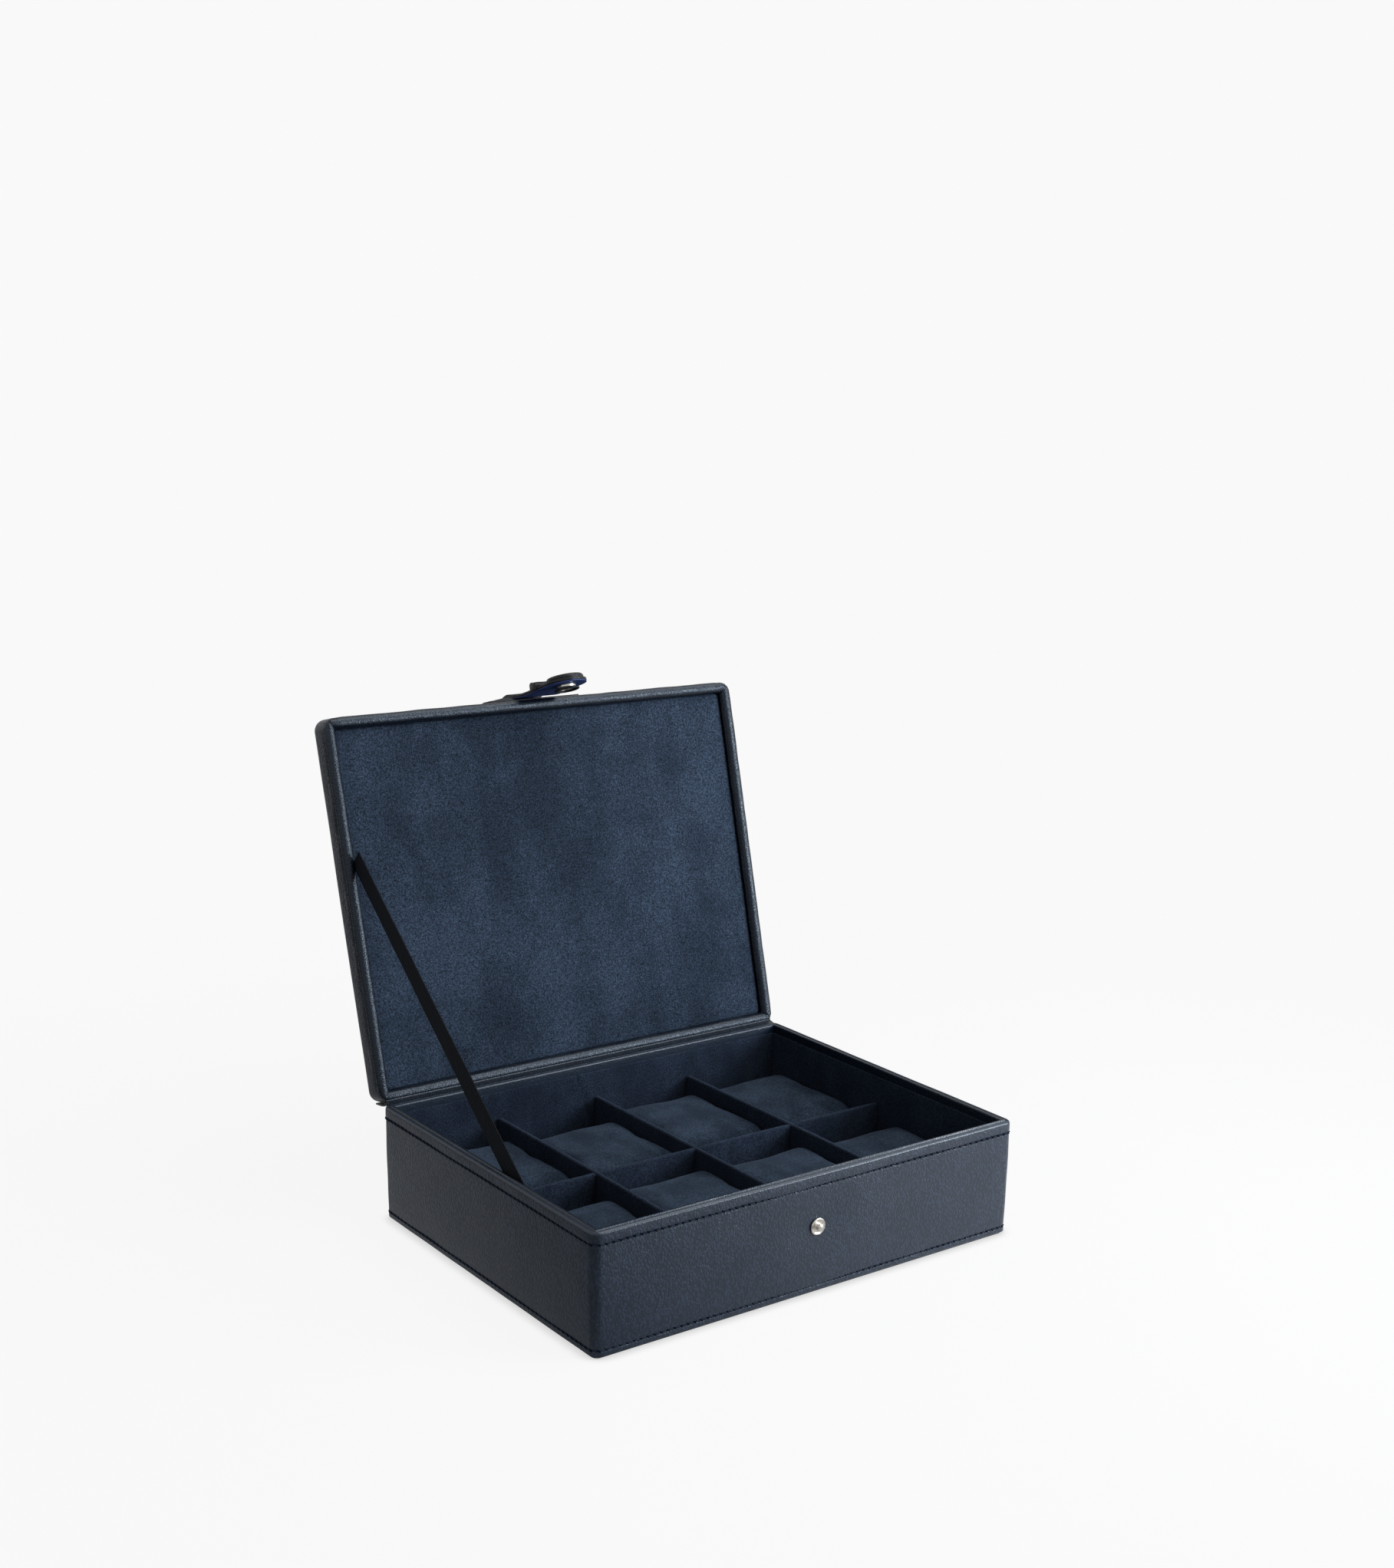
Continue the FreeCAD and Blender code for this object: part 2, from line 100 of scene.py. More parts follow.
# Stud and strap
stud_height = 36.6
strap_width = 25.0
strap_leather = 1.6
strap_facing = 0.7
strap_total = strap_facing + strap_leather
snap_drop = rim_height - stud_height
patch_thickness = 0.9
under_strap = ((-26.0, 19.7), (-14.3, 19.7), (-5.0, 21.9), (-0.4, 22.9), (2.2, 18.7), (1.9, 10.34),
               (1.4, 1.2), (1.75, -5.8), (2.9, -16.0), (4.2, -28.9), (5.64, -40.5))
strap_joint = 1.2
strap_standoff = 2.5
strap_lean = 0.5
strap_outside = -1
bar_above_snap = 14.4


# Handling of pieces

def put_down():
    """Leaves edit mode with nothing selected."""
    if bpy.context.object and bpy.context.object.mode != "OBJECT":
        bpy.ops.object.mode_set(mode="OBJECT")
    bpy.ops.object.select_all(action="DESELECT")


def pick_up(piece):
    """Makes a piece the only selected one."""
    put_down()
    piece.select_set(True)
    bpy.context.view_layer.objects.active = piece
    return piece


def settle(piece):
    """Puts the piece's place into its mesh."""
    pick_up(piece)
    bpy.ops.object.transform_apply(location=True, rotation=True, scale=True)
    return piece


def edit(piece):
    """Enters edit mode with all of a piece selected."""
    pick_up(piece)
    bpy.ops.object.mode_set(mode="EDIT")
    bpy.ops.mesh.select_all(action="SELECT")


def leave_edit():
    bpy.ops.object.mode_set(mode="OBJECT")


def named(piece, name):
    piece.name = piece.data.name = name
    return piece


def new_object(name, data):
    """Puts a mesh, curve, light or camera into the scene."""
    made = bpy.data.objects.new(name, data)
    bpy.context.collection.objects.link(made)
    return made


def copy_of(piece):
    """A copy of a piece with a mesh of its own."""
    copy = piece.copy()
    copy.data = piece.data.copy()
    bpy.context.collection.objects.link(copy)
    return copy


def block(name, low, high):
    """A new block between two corners in millimetres."""
    put_down()
    low, high = mm(*low), mm(*high)
    bpy.ops.mesh.primitive_cube_add(size=1, location=(low + high) / 2)
    piece = named(bpy.context.object, name)
    piece.scale = high - low
    return settle(piece)


def pick(piece, kind, test):
    """Selects in edit mode the edges or faces that pass a test."""
    edit(piece)
    bpy.ops.mesh.select_mode(type=kind)
    bpy.ops.mesh.select_all(action="DESELECT")
    mesh = bmesh.from_edit_mesh(piece.data)
    for part in mesh.edges if kind == "EDGE" else mesh.faces:
        part.select_set(test(part))
    bmesh.update_edit_mesh(piece.data)


def pick_edges(piece, test):
    """Selects the edges whose two ends, in millimetres, pass a test."""
    pick(piece, "EDGE", lambda edge: test(*(corner.co * 1000 for corner in edge.verts)))


def pick_faces(piece, test):
    """Selects the faces whose middle, in millimetres, passes a test."""
    pick(piece, "FACE", lambda face: test(face.calc_center_median() * 1000))


def round_edges(piece, radius, segments, test):
    """Rounds the edges that pass a test."""
    pick_edges(piece, test)
    bpy.ops.mesh.bevel(offset=mm(radius), segments=segments, affect="EDGES", profile=0.5)
    leave_edit()


def upright(low, high, x=0.0, y=0.0):
    """Test for edges that stand upright between two heights, at least x and y from the middle."""
    def test(a, b):
        return (abs(a.z - b.z) > (high - low) / 2 and abs(a.x) > x and abs(a.y) > y
                and abs(a.x - b.x) < 0.01 and abs(a.y - b.y) < 0.01)
    return test


def level(z, x, y, outside=True):
    """Test for edges that lie at a height, outside or inside a rectangle about the middle."""
    def beyond(p):
        return abs(p.x) > x or abs(p.y) > y

    def test(a, b):
        if abs(a.z - z) > 0.01 or abs(b.z - z) > 0.01:
            return False
        return (beyond(a) and beyond(b)) if outside else not (beyond(a) or beyond(b))
    return test


def slice_up(piece, axis, places):
    """Cuts new edge loops across a piece at places in millimetres along an axis."""
    edit(piece)
    normal = Vector((axis == "x", axis == "y", axis == "z"))
    for place in places:
        bpy.ops.mesh.select_all(action="SELECT")
        bpy.ops.mesh.bisect(plane_co=normal * mm(place), plane_no=normal)
    leave_edit()


def spaced(start, end, step):
    """Evenly spaced places between two limits, both left out."""
    count = max(2, round((end - start) / step))
    return [start + (end - start) * i / count for i in range(1, count)]


def slice_both_ways(piece, step_x, step_y, insets=()):
    """Cuts edge loops across a piece as wide as the box, and more at insets from its sides."""
    for axis, half, step in (("x", half_width, step_x), ("y", half_depth, step_y)):
        near_sides = [s * (half - inset) for inset in insets for s in (-1, 1)]
        slice_up(piece, axis, spaced(-half + 7, half - 7, step) + near_sides)


def mould(piece, push):
    """Moves each point, given in millimetres, by what push gives for it in millimetres."""
    for vertex in piece.data.vertices:
        vertex.co += mm(*push(vertex.co * 1000))
    piece.data.update()


def wander(p, size, amount, seed):
    """A gentle unevenness: three numbers within an amount, changing over a size."""
    at = Vector((p.x / size + seed * 7.3, p.y / size - seed * 3.1, p.z / size + seed))
    return [amount * v for v in noise.noise_vector(at)]


def ripple(x, y, z):
    """A smooth unevenness between -1 and 1, changing over about one unit."""
    return noise.noise(Vector((x, y, z)))


def as_share(value):
    """A value held between 0 and 1."""
    return min(max(value, 0), 1)


def dip(distance, width):
    """1 in the middle of a hollow, falling smoothly to 0 about a width away."""
    return math.exp(-(distance / width) ** 2)


def smooth(piece, angle=35.0):
    """Shades a piece smooth where its faces meet at less than an angle in degrees."""
    pick_up(piece)
    bpy.ops.object.shade_smooth_by_angle(angle=math.radians(angle))
    return piece


def modifier(piece, kind, **settings):
    """Adds a modifier with its settings and applies it."""
    pick_up(piece)
    added = piece.modifiers.new(kind.lower(), kind)
    for key, value in settings.items():
        setattr(added, key, value)
    bpy.ops.object.modifier_apply(modifier=added.name)


def open_up(piece):
    """Turns a piece of the shut lid to where the open lid has it."""
    turn = Matrix.Rotation(-lid_open_angle, 4, "X")
    piece.data.transform(Matrix.Translation(hinge) @ turn @ Matrix.Translation(-hinge))
    piece.data.update()
    return piece


def turn_to(x, y, z):
    """The turn that takes the three axes to three directions."""
    return Matrix((x, y, z)).transposed().to_4x4()


def finish_piece(piece, material, body, replaced=()):
    """Material, body and the solids that a piece stands for."""
    piece.data.materials.clear()
    piece.data.materials.append(material)
    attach(piece, body)
    if replaced:
        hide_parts(*replaced)
    return piece


# Materials

def new_group(name, inputs, outputs):
    """A shader node group with named sockets. Inputs and outputs are name: (type, default)."""
    group = bpy.data.node_groups.new(name, "ShaderNodeTree")
    for side, sockets in (("INPUT", inputs), ("OUTPUT", outputs)):
        for label, (kind, default) in sockets.items():
            socket = group.interface.new_socket(label, in_out=side, socket_type="NodeSocket" + kind)
            if default is not None:
                socket.default_value = default
    return (group, group.nodes.new("NodeGroupInput").outputs,
            group.nodes.new("NodeGroupOutput").inputs)


class Wiring:
    """Short ways to add nodes to a tree and join them."""

    def __init__(self, tree):
        self.tree = tree

    def node(self, kind, settings=None, **inputs):
        made = self.tree.nodes.new("ShaderNode" + kind)
        for key, value in (settings or {}).items():
            setattr(made, key, value)
        for label, value in inputs.items():
            self.feed(made.inputs[label.replace("_", " ")], value)
        return made

    def feed(self, socket, value):
        if isinstance(value, bpy.types.NodeSocket):
            self.tree.links.new(value, socket)
        else:
            socket.default_value = value

    def sum(self, operation, a, b=0.0, c=0.0):
        made = self.tree.nodes.new("ShaderNodeMath")
        made.operation = operation
        for socket, value in zip(made.inputs, (a, b, c)):
            self.feed(socket, value)
        return made.outputs[0]

    def vector(self, operation, a, b):
        made = self.tree.nodes.new("ShaderNodeVectorMath")
        made.operation = operation
        self.feed(made.inputs[0], a)
        self.feed(made.inputs["Scale"] if operation == "SCALE" else made.inputs[1], b)
        return made.outputs[0]

    def between(self, value, low, high, to_low=0.0, to_high=1.0):
        """Maps a value smoothly from one range to another."""
        made = self.node("MapRange", {"interpolation_type": "SMOOTHSTEP"}, Value=value)
        made.inputs["From Min"].default_value = low
        made.inputs["From Max"].default_value = high
        made.inputs["To Min"].default_value = to_low
        made.inputs["To Max"].default_value = to_high
        return made.outputs[0]

    def blend(self, factor, a, b, how="MIX"):
        """Mixes two colours."""
        made = self.tree.nodes.new("ShaderNodeMix")
        made.data_type = "RGBA"
        made.blend_type = how
        self.feed(made.inputs[0], factor)
        self.feed(made.inputs[6], a)
        self.feed(made.inputs[7], b)
        return made.outputs[2]

    def noise(self, place, scale, detail=2.0, rough=0.5):
        return self.node("TexNoise", Vector=place, Scale=scale, Detail=detail,
                         Roughness=rough).outputs[0]

    def glow(self, strength):
        """White light of a strength."""
        return self.node("Emission", Color=(1, 1, 1, 1), Strength=strength).outputs[0]

    def mix_shaders(self, factor, a, b):
        made = self.node("MixShader", Fac=factor)
        self.feed(made.inputs[1], a)
        self.feed(made.inputs[2], b)
        return made.outputs[0]


def leather_grain():
    """Soft pebbled grain: low domes, wandering upright wrinkles, fine pores and a slow change of
    shade."""
    group, given, out = new_group(
        "leather_grain",
        {"Place": ("Vector", None), "Cells": ("Float", 560.0), "Colour": ("Color", None),
         "Crease colour": ("Color", None), "Stretch": ("Vector", (1.0, 1.0, 0.6)),
         "Roughness": ("Float", 0.45), "Mottle": ("Float", 0.2)},
        {"Colour": ("Color", None), "Roughness": ("Float", None), "Height": ("Float", None)})
    w = Wiring(group)
    place, cells = given["Place"], given["Cells"]
    warp = w.node("TexNoise", Vector=place, Scale=w.sum("MULTIPLY", cells, 0.35), Detail=2.0)
    shift = w.vector("SCALE", w.vector("SUBTRACT", warp.outputs[1], (0.5, 0.5, 0.5)), 0.0014)
    warped = w.vector("ADD", w.vector("MULTIPLY", place, given["Stretch"]), shift)
    domes = w.node("TexVoronoi", {"feature": "F1"}, Vector=warped, Scale=cells)
    dome = w.between(domes.outputs[0], 0.15, 0.75, 1.0, 0.0)
    wrinkle = w.noise(warped, w.sum("MULTIPLY", cells, 0.9), 1.5, 0.5)
    furrow = w.between(w.sum("ABSOLUTE", w.sum("SUBTRACT", wrinkle, 0.5)), 0.0, 0.09)
    pores = w.noise(place, w.sum("MULTIPLY", cells, 4.5), 3.0)
    patchy = w.between(w.noise(place, w.sum("MULTIPLY", cells, 0.07), 2.0), 0.32, 0.68, 0.35, 1.0)
    height = w.sum("MULTIPLY_ADD", dome, 0.6,
                   w.sum("MULTIPLY_ADD", w.sum("MULTIPLY", furrow, patchy), 0.3,
                         w.sum("MULTIPLY", pores, 0.10)))
    cloud = w.noise(place, 28.0, 3.0)
    shade = w.sum("MULTIPLY_ADD", w.sum("SUBTRACT", cloud, 0.5), given["Mottle"], 1.0)
    # The grain's low parts take the darker crease colour: painted shade in the creases.
    tone = w.blend(w.between(height, 0.25, 0.8), given["Crease colour"], given["Colour"])
    w.feed(out["Colour"], w.vector("SCALE", tone, shade))
    w.feed(out["Roughness"], w.sum("MULTIPLY_ADD", w.sum("SUBTRACT", cloud, height), 0.10,
                                   given["Roughness"]))
    w.feed(out["Height"], height)
    return group


def suede_nap():
    """Brushed suede: clouds where the nap lies another way, streaks, and a fine speckle."""
    group, given, out = new_group(
        "suede_nap",
        {"Place": ("Vector", None), "Colour": ("Color", None), "Brushed colour": ("Color", None),
         "Cloud size": ("Float", 24.0), "Cloud strength": ("Float", 0.6),
         "Speckle": ("Float", 0.35)},
        {"Colour": ("Color", None), "Height": ("Float", None)})
    w = Wiring(group)
    place = given["Place"]
    clouds = w.noise(place, given["Cloud size"], 4.0, 0.6)
    warp = w.node("TexNoise", Vector=place, Scale=w.sum("MULTIPLY", given["Cloud size"], 0.7))
    dragged = w.vector("ADD", place, w.vector("SCALE", warp.outputs[1], 0.02))
    strokes = w.noise(w.vector("MULTIPLY", dragged, (1.0, 0.55, 0.35)),
                      w.sum("MULTIPLY", given["Cloud size"], 2.6), 3.0)
    lying = w.between(w.sum("ADD", w.sum("MULTIPLY", clouds, 0.6), w.sum("MULTIPLY", strokes, 0.4)),
                      0.36, 0.64)
    speck = w.noise(place, 2300.0, 3.0, 0.8)
    fibre = w.noise(place, 1050.0, 3.0, 0.7)
    colour = w.blend(w.sum("MULTIPLY", lying, given["Cloud strength"]), given["Colour"],
                     given["Brushed colour"])
    grain = w.sum("ADD", w.sum("SUBTRACT", speck, 0.5), w.sum("SUBTRACT", fibre, 0.5))
    speckled = w.sum("MULTIPLY_ADD", grain, w.sum("MULTIPLY", given["Speckle"], 5.0), 1.0)
    w.feed(out["Colour"], w.vector("SCALE", colour, w.sum("MAXIMUM", speckled, 0.25)))
    height = w.sum("ADD", w.sum("MULTIPLY", fibre, 0.6), w.sum("MULTIPLY", speck, 0.4))
    w.feed(out["Height"], height)
    return group


def ribbon_weave():
    """Grosgrain: slanting ribs across a ribbon, read from its own UV map in metres."""
    group, given, out = new_group(
        "ribbon_weave",
        {"Place": ("Vector", None), "Ribs": ("Float", 1000.0), "Colour": ("Color", None),
         "Rib colour": ("Color", None)},
        {"Colour": ("Color", None), "Height": ("Float", None)})
    w = Wiring(group)
    slanted = w.vector("MULTIPLY", given["Place"], (0.35, 1.0, 1.0))
    ribs = w.node("TexWave", {"wave_type": "BANDS", "bands_direction": "DIAGONAL"},
                  Vector=slanted, Scale=given["Ribs"], Distortion=0.4, Detail=1.0)
    threads = w.noise(given["Place"], 3000.0, 2.0)
    mask = w.sum("MULTIPLY_ADD", threads, 0.3, w.sum("MULTIPLY", ribs.outputs[1], 0.8))
    w.feed(out["Colour"], w.blend(mask, given["Colour"], given["Rib colour"]))
    w.feed(out["Height"], mask)
    return group


groups = {make.__name__: make() for make in (leather_grain, suede_nap, ribbon_weave)}


def finish_of(name, group, values, bump, reach, **surface):
    """A material: a pattern group feeding a shader, with the shader's plain settings given."""
    material = bpy.data.materials.new(name)
    material.use_nodes = True
    w = Wiring(material.node_tree)
    shader = material.node_tree.nodes["Principled BSDF"]
    for label, value in surface.items():
        shader.inputs[label.replace("_", " ")].default_value = value
    pattern = w.node("Group")
    pattern.node_tree = groups[group]
    source = "UV" if group == "ribbon_weave" else "Object"
    w.feed(pattern.inputs["Place"], w.node("TexCoord").outputs[source])
    for label, value in values.items():
        pattern.inputs[label].default_value = value
    w.feed(shader.inputs["Base Color"], pattern.outputs["Colour"])
    if "Roughness" in pattern.outputs:
        w.feed(shader.inputs["Roughness"], pattern.outputs["Roughness"])
    raise_up = w.node("Bump", Strength=bump, Distance=reach, Height=pattern.outputs["Height"])
    w.feed(shader.inputs["Normal"], raise_up.outputs[0])
    return material


def leather(name, colour, crease, cells=600.0, roughness=0.45, bump=0.5, stretch=0.6, **surface):
    """A leather of domes and creases; more cells give a finer grain."""
    # crease is the colour of the grain's low parts: painted shade.
    values = {"Cells": cells, "Colour": (*colour, 1), "Crease colour": (*crease, 1),
              "Stretch": (1.0, 1.0, stretch), "Roughness": roughness}
    return finish_of(name, "leather_grain", values, bump, 0.0003, **surface)


def suede(name, colour, brushed, cloud=24.0, strength=0.6, speckle=0.35):
    """A brushed suede; colours run from the nap lying one way to the other."""
    values = {"Colour": (*colour, 1), "Brushed colour": (*brushed, 1), "Cloud size": cloud,
              "Cloud strength": strength, "Speckle": speckle}
    return finish_of(name, "suede_nap", values, 0.35, 0.0004, Roughness=0.95, Sheen_Weight=0.06,
                     Sheen_Roughness=0.5, Sheen_Tint=(0.55, 0.7, 1.0, 1), Specular_IOR_Level=0.1)


cool_tint = (0.86, 0.93, 1.0, 1)
wall_leather = leather(
    "wall_leather", (0.014, 0.025, 0.049), (0.006, 0.012, 0.024), 760, 0.36, 0.56, 0.75,
    Specular_IOR_Level=0.68, Specular_Tint=cool_tint)
# A smoother copy of the wall leather in a darker colour: painted shade on the rim's top, and a
# painted highlight on the back wall's inner band, lighter than the rest of the inside.
rim_leather_painted_light_and_shade = leather(
    "rim_leather_painted_light_and_shade", (0.010, 0.018, 0.035), (0.006, 0.012, 0.023), 1000, 0.34, 0.3, 0.75,
    Specular_IOR_Level=0.50, Specular_Tint=cool_tint)
lid_leather = leather(
    "lid_leather", (0.012, 0.020, 0.037), (0.007, 0.012, 0.023), 760, 0.40, 0.5, 0.75,
    Specular_IOR_Level=0.40)
# The lid's binding leather, dark in its own right; on the tray's inside the same colour is painted
# shade.
roll_leather_and_inside_shade = leather(
    "roll_leather_and_inside_shade", (0.004, 0.007, 0.013), (0.002, 0.004, 0.008), 1600, 0.27, 0.36, 1.0,
    Specular_IOR_Level=0.46, Specular_Tint=(0.72, 0.84, 1.0, 1))
strap_hide = leather(
    "strap_hide", (0.006, 0.007, 0.010), (0.004, 0.005, 0.007), 1200, 0.38, 0.4, 1.0,
    Specular_IOR_Level=0.3)
cover_sheet = leather("cover_sheet", (0.008, 0.009, 0.012), (0.005, 0.005, 0.007), 900, 0.6, 0.3)
blue_facing = leather("blue_facing", (0.005, 0.024, 0.125), (0.004, 0.018, 0.095), 1800, 0.55, 0.2)
lid_suede = suede("lid_suede", (0.013, 0.021, 0.035), (0.032, 0.048, 0.077), 17.0, 0.75, 1.1)
bay_suede = suede("bay_suede", (0.008, 0.013, 0.024), (0.018, 0.027, 0.046), 30.0, 0.7, 0.8)
cushion_suede = suede(
    "cushion_suede", (0.008, 0.014, 0.024), (0.024, 0.037, 0.058), 34.0, 0.95, 1.0)
card = suede("card", (0.36, 0.27, 0.17), (0.42, 0.32, 0.21), 30.0, 0.5, 0.2)
ribbon_cloth = finish_of("ribbon_cloth", "ribbon_weave",
                         {"Ribs": 470.0, "Colour": (0.0015, 0.002, 0.003, 1),
                          "Rib colour": (0.015, 0.017, 0.022, 1)}, 0.8, 0.0003, Roughness=0.85,
                         Specular_IOR_Level=0.07)
thread = leather("thread", (0.006, 0.017, 0.044), (0.003, 0.009, 0.024), 2600, 0.65, 0.3,
                 Specular_IOR_Level=0.15)
# Nearly black beads at the needle holes: painted shade inside the holes.
painted_hole_shade = leather("painted_hole_shade", (0.002, 0.003, 0.006), (0.002, 0.002, 0.004), 900, 0.9, 0.1,
                      Specular_IOR_Level=0.05)
nickel = leather("nickel", (0.84, 0.81, 0.76), (0.60, 0.57, 0.52), 1500, 0.30, 0.12, Metallic=1.0)


# Leather of the tray and of the lid

def hollow_block(name, low_z, high_z, inset, depth, outer_round, inner_round, downward=False,
                 corner=upright_corner):
    """A block with rounded upright corners and a square pocket, rounded at its mouth."""
    piece = block(name, (-half_width, -half_depth, low_z), (half_width, half_depth, high_z))
    mouth = low_z if downward else high_z
    pick_faces(piece, lambda middle: abs(middle.z - mouth) < 0.01)
    bpy.ops.mesh.inset(thickness=mm(inset), use_even_offset=True)
    step = mm(depth if downward else -depth)
    bpy.ops.mesh.extrude_region_move(TRANSFORM_OT_translate={"value": (0, 0, step)})
    leave_edit()
    edge_x, edge_y = half_width - inset / 2, half_depth - inset / 2
    round_edges(piece, corner, 8, upright(low_z, high_z, edge_x, edge_y))
    round_edges(piece, outer_round, 6, level(mouth, edge_x, edge_y))
    round_edges(piece, inner_round, 5, level(mouth, half_width - inset + 0.1,
                                             half_depth - inset + 0.1, outside=False))
    return piece


def from_sides(p):
    """How far in a point lies from the box's nearest side in x, and in y."""
    return half_width - abs(p.x), half_depth - abs(p.y)


def outward(p):
    """The direction straight out of the nearest wall."""
    near_x, near_y = (1 / (0.3 + max(to_side, 0)) ** 2 for to_side in from_sides(p))
    out = Vector((math.copysign(near_x, p.x), math.copysign(near_y, p.y), 0))
    return out.normalized()


def tray_leather():
    """The tray's leather: drawn in along the seams, dimpled at the stud, folded over the rim."""
    low_z, fold_z, crease_inset = 0.8, rim_height - 2.5, 2.8
    piece = hollow_block("tray_leather", low_z, rim_height, 5.2, 62.0, 1.7, 0.9)
    round_edges(piece, 1.0, 3, level(low_z, half_width - 1, half_depth - 1))
    seams = [s + d for s in (bottom_seam, top_seam) for d in (-2.2, -1.1, -0.45, 0.0, 0.45, 1.1)]
    slice_up(piece, "z", seams + [61.2] + spaced(8, 55, 5.5))
    slice_both_ways(piece, 5.3, 6.5, (2.1, 2.45, crease_inset, 3.15, 3.5))

    def push(p):
        inside = min(from_sides(p))
        if inside > 4:
            return 0, 0, 0
        up = as_share((p.z - bottom_seam) / (top_seam - bottom_seam))
        swell = 0.25 * math.sin(math.pi * up)
        pinch = 0.22 * max(dip(p.z - top_seam, 0.7), dip(p.z - bottom_seam, 0.7))
        proud = 0.2 if p.z > top_seam else 0.12 if p.z < bottom_seam else 0
        rise = 0
        if p.z > fold_z:
            proud, pinch, swell = 0.1, 0, 0
            rise = (0.12 * ripple(p.x / 40, p.y / 40, 3) - 0.85 * dip(inside - crease_inset, 0.38)
                    + 0.2 * (inside > 3.3))
        stud = math.hypot(p.x, (p.z - stud_height) * 1.1) if p.y < -half_depth + 3 else 99
        away = swell + proud - pinch - 0.75 * dip(stud, 17) + 0.35 * dip(stud - 30, 16)
        if stud < 6:
            away = -0.45
        uneven = 0.25 * ripple(p.x / 26, p.y / 26, p.z / 18)
        return (*(outward(p) * (away + uneven)).xy, rise)
    mould(piece, push)
    finish_piece(smooth(piece, 40), wall_leather, "tray", ["outer_leather_wrap"])
    # Faces inside the rim's crease take the far darker roll leather: its finer grain, and painted
    # shade on the inside of the rim and walls.
    for material in (roll_leather_and_inside_shade, rim_leather_painted_light_and_shade):
        piece.data.materials.append(material)
    rolled, rim = 1, 2
    for face in piece.data.polygons:
        middle = face.center * 1000
        if min(from_sides(middle)) > 3.2:
            # The back wall's inner band: lighter than the rest of the inside, a painted highlight.
            face.material_index = rim if middle.y > half_depth - 8 else rolled
        elif middle.z > rim_height - 1.6:
            # The rim's top: darker than the wall, painted shade.
            face.material_index = rim


def lid_cover():
    """The leather over the lid's top and sides."""
    low_z = lid_seam - 0.8
    cover = hollow_block("lid_cover", low_z, lid_top, 3.0, 10.0, 0.3, 0.3, downward=True,
                         corner=6.4)
    round_edges(cover, 5.8, 8, level(lid_top, half_width - 2, half_depth - 2))
    slice_both_ways(cover, 9, 9)

    def push(p):
        side = outward(p) if p.z < lid_top - 2 else Vector((0, 0, 0))
        crown = 0.5 * as_share((min(from_sides(p)) - 7) / 30) if p.z > lid_top - 0.5 else 0
        uneven = 0.2 * ripple(p.x / 30, p.y / 30, p.z / 10 + 5)
        side = side * (uneven - 0.25 * dip(p.z - low_z, 1.2))
        return side.x, side.y, crown + (uneven if crown else 0)
    mould(cover, push)
    open_up(smooth(cover, 40))
    finish_piece(cover, lid_leather, "lid", ["lid_leather_cover"])


def lid_roll():
    """The rolled leather round the lid's mouth, mitred and gathered at its corners."""
    roll = hollow_block("lid_roll", lid_mouth, lid_seam + 4.0, lid_rim_width, 6.5, 2.8, 2.9,
                        downward=True)
    slice_up(roll, "z", [lid_mouth + d for d in (2.8, 3.1, 3.6)])
    slice_both_ways(roll, 4.5, 4.5)
    for sx in (-1, 1):
        for sy in (-1, 1):
            corner = mm(sx * (half_width - lid_rim_width), sy * (half_depth - lid_rim_width), 0)
            for shift in (-1.6, -0.8, 0.0, 0.8, 1.6):
                pick_faces(roll, lambda middle: middle.x * sx > half_width - 12
                           and middle.y * sy > half_depth - 12)
                bpy.ops.mesh.bisect(plane_co=corner + mm(sx * shift, 0, 0),
                                    plane_no=Vector((sx, -sy, 0)).normalized())
    leave_edit()

    def push(p):
        side = outward(p)
        edge_x, edge_y = from_sides(p)
        near_mouth = 1 - as_share((p.z - lid_mouth) / 3.0)
        mitre = 0.8 * dip(edge_x - edge_y, 0.7) * (1 if max(edge_x, edge_y) < 9 else 0)
        gather = 0.35 * dip(max(edge_x, edge_y) - 5, 5) * math.sin((edge_x - edge_y) * 2.0)
        crease = 0.35 * dip(p.z - lid_mouth - 3.1, 0.5)
        along = p.x if edge_y < edge_x else p.y
        uneven = 0.16 * ripple(along / 9, p.z / 6, 2) - crease
        uneven += 0.05 * math.sin(along * 2.6 + p.z)
        lift = (0.4 * mitre * near_mouth + 0.12 * ripple(along / 14, 9, 2)
                + gather * near_mouth * 0.3)
        pull = 1.1 * max(1 - (max(edge_x, 0) + max(edge_y, 0)) / 8, 0)
        return (side.x * (uneven + 0.15) - math.copysign(pull, p.x),
                side.y * (uneven + 0.15) - math.copysign(pull, p.y), lift)
    mould(roll, push)
    open_up(smooth(roll, 50))
    finish_piece(roll, roll_leather_and_inside_shade, "lid", ["lid_rim_binding"])


def lid_panel():
    """The padded suede panel in the lid's recess."""
    x, y, low = half_width - 6.4, half_depth - 6.4, lid_mouth + panel_depth
    panel = block("lid_panel", (-x, -y, low), (x, y, low + 3.0))
    round_edges(panel, 2.5, 5, upright(low, low + 3))
    round_edges(panel, 1.3, 5, level(low, x - 3, y - 3))
    slice_up(panel, "x", spaced(-x + 3, x - 3, 8))
    slice_up(panel, "y", spaced(-y + 3, y - 3, 8))

    def push(p):
        full = as_share(min(x - abs(p.x), y - abs(p.y)) / 14)
        crown = -0.35 * math.sin(full * math.pi / 2) if p.z < low + 1 else 0
        return 0, 0, crown + 0.22 * ripple(p.x / 34, p.y / 34, 1) * full
    mould(panel, push)
    open_up(smooth(panel, 50))
    finish_piece(panel, lid_suede, "lid", ["lid_suede_panel"])


# Inside of the tray

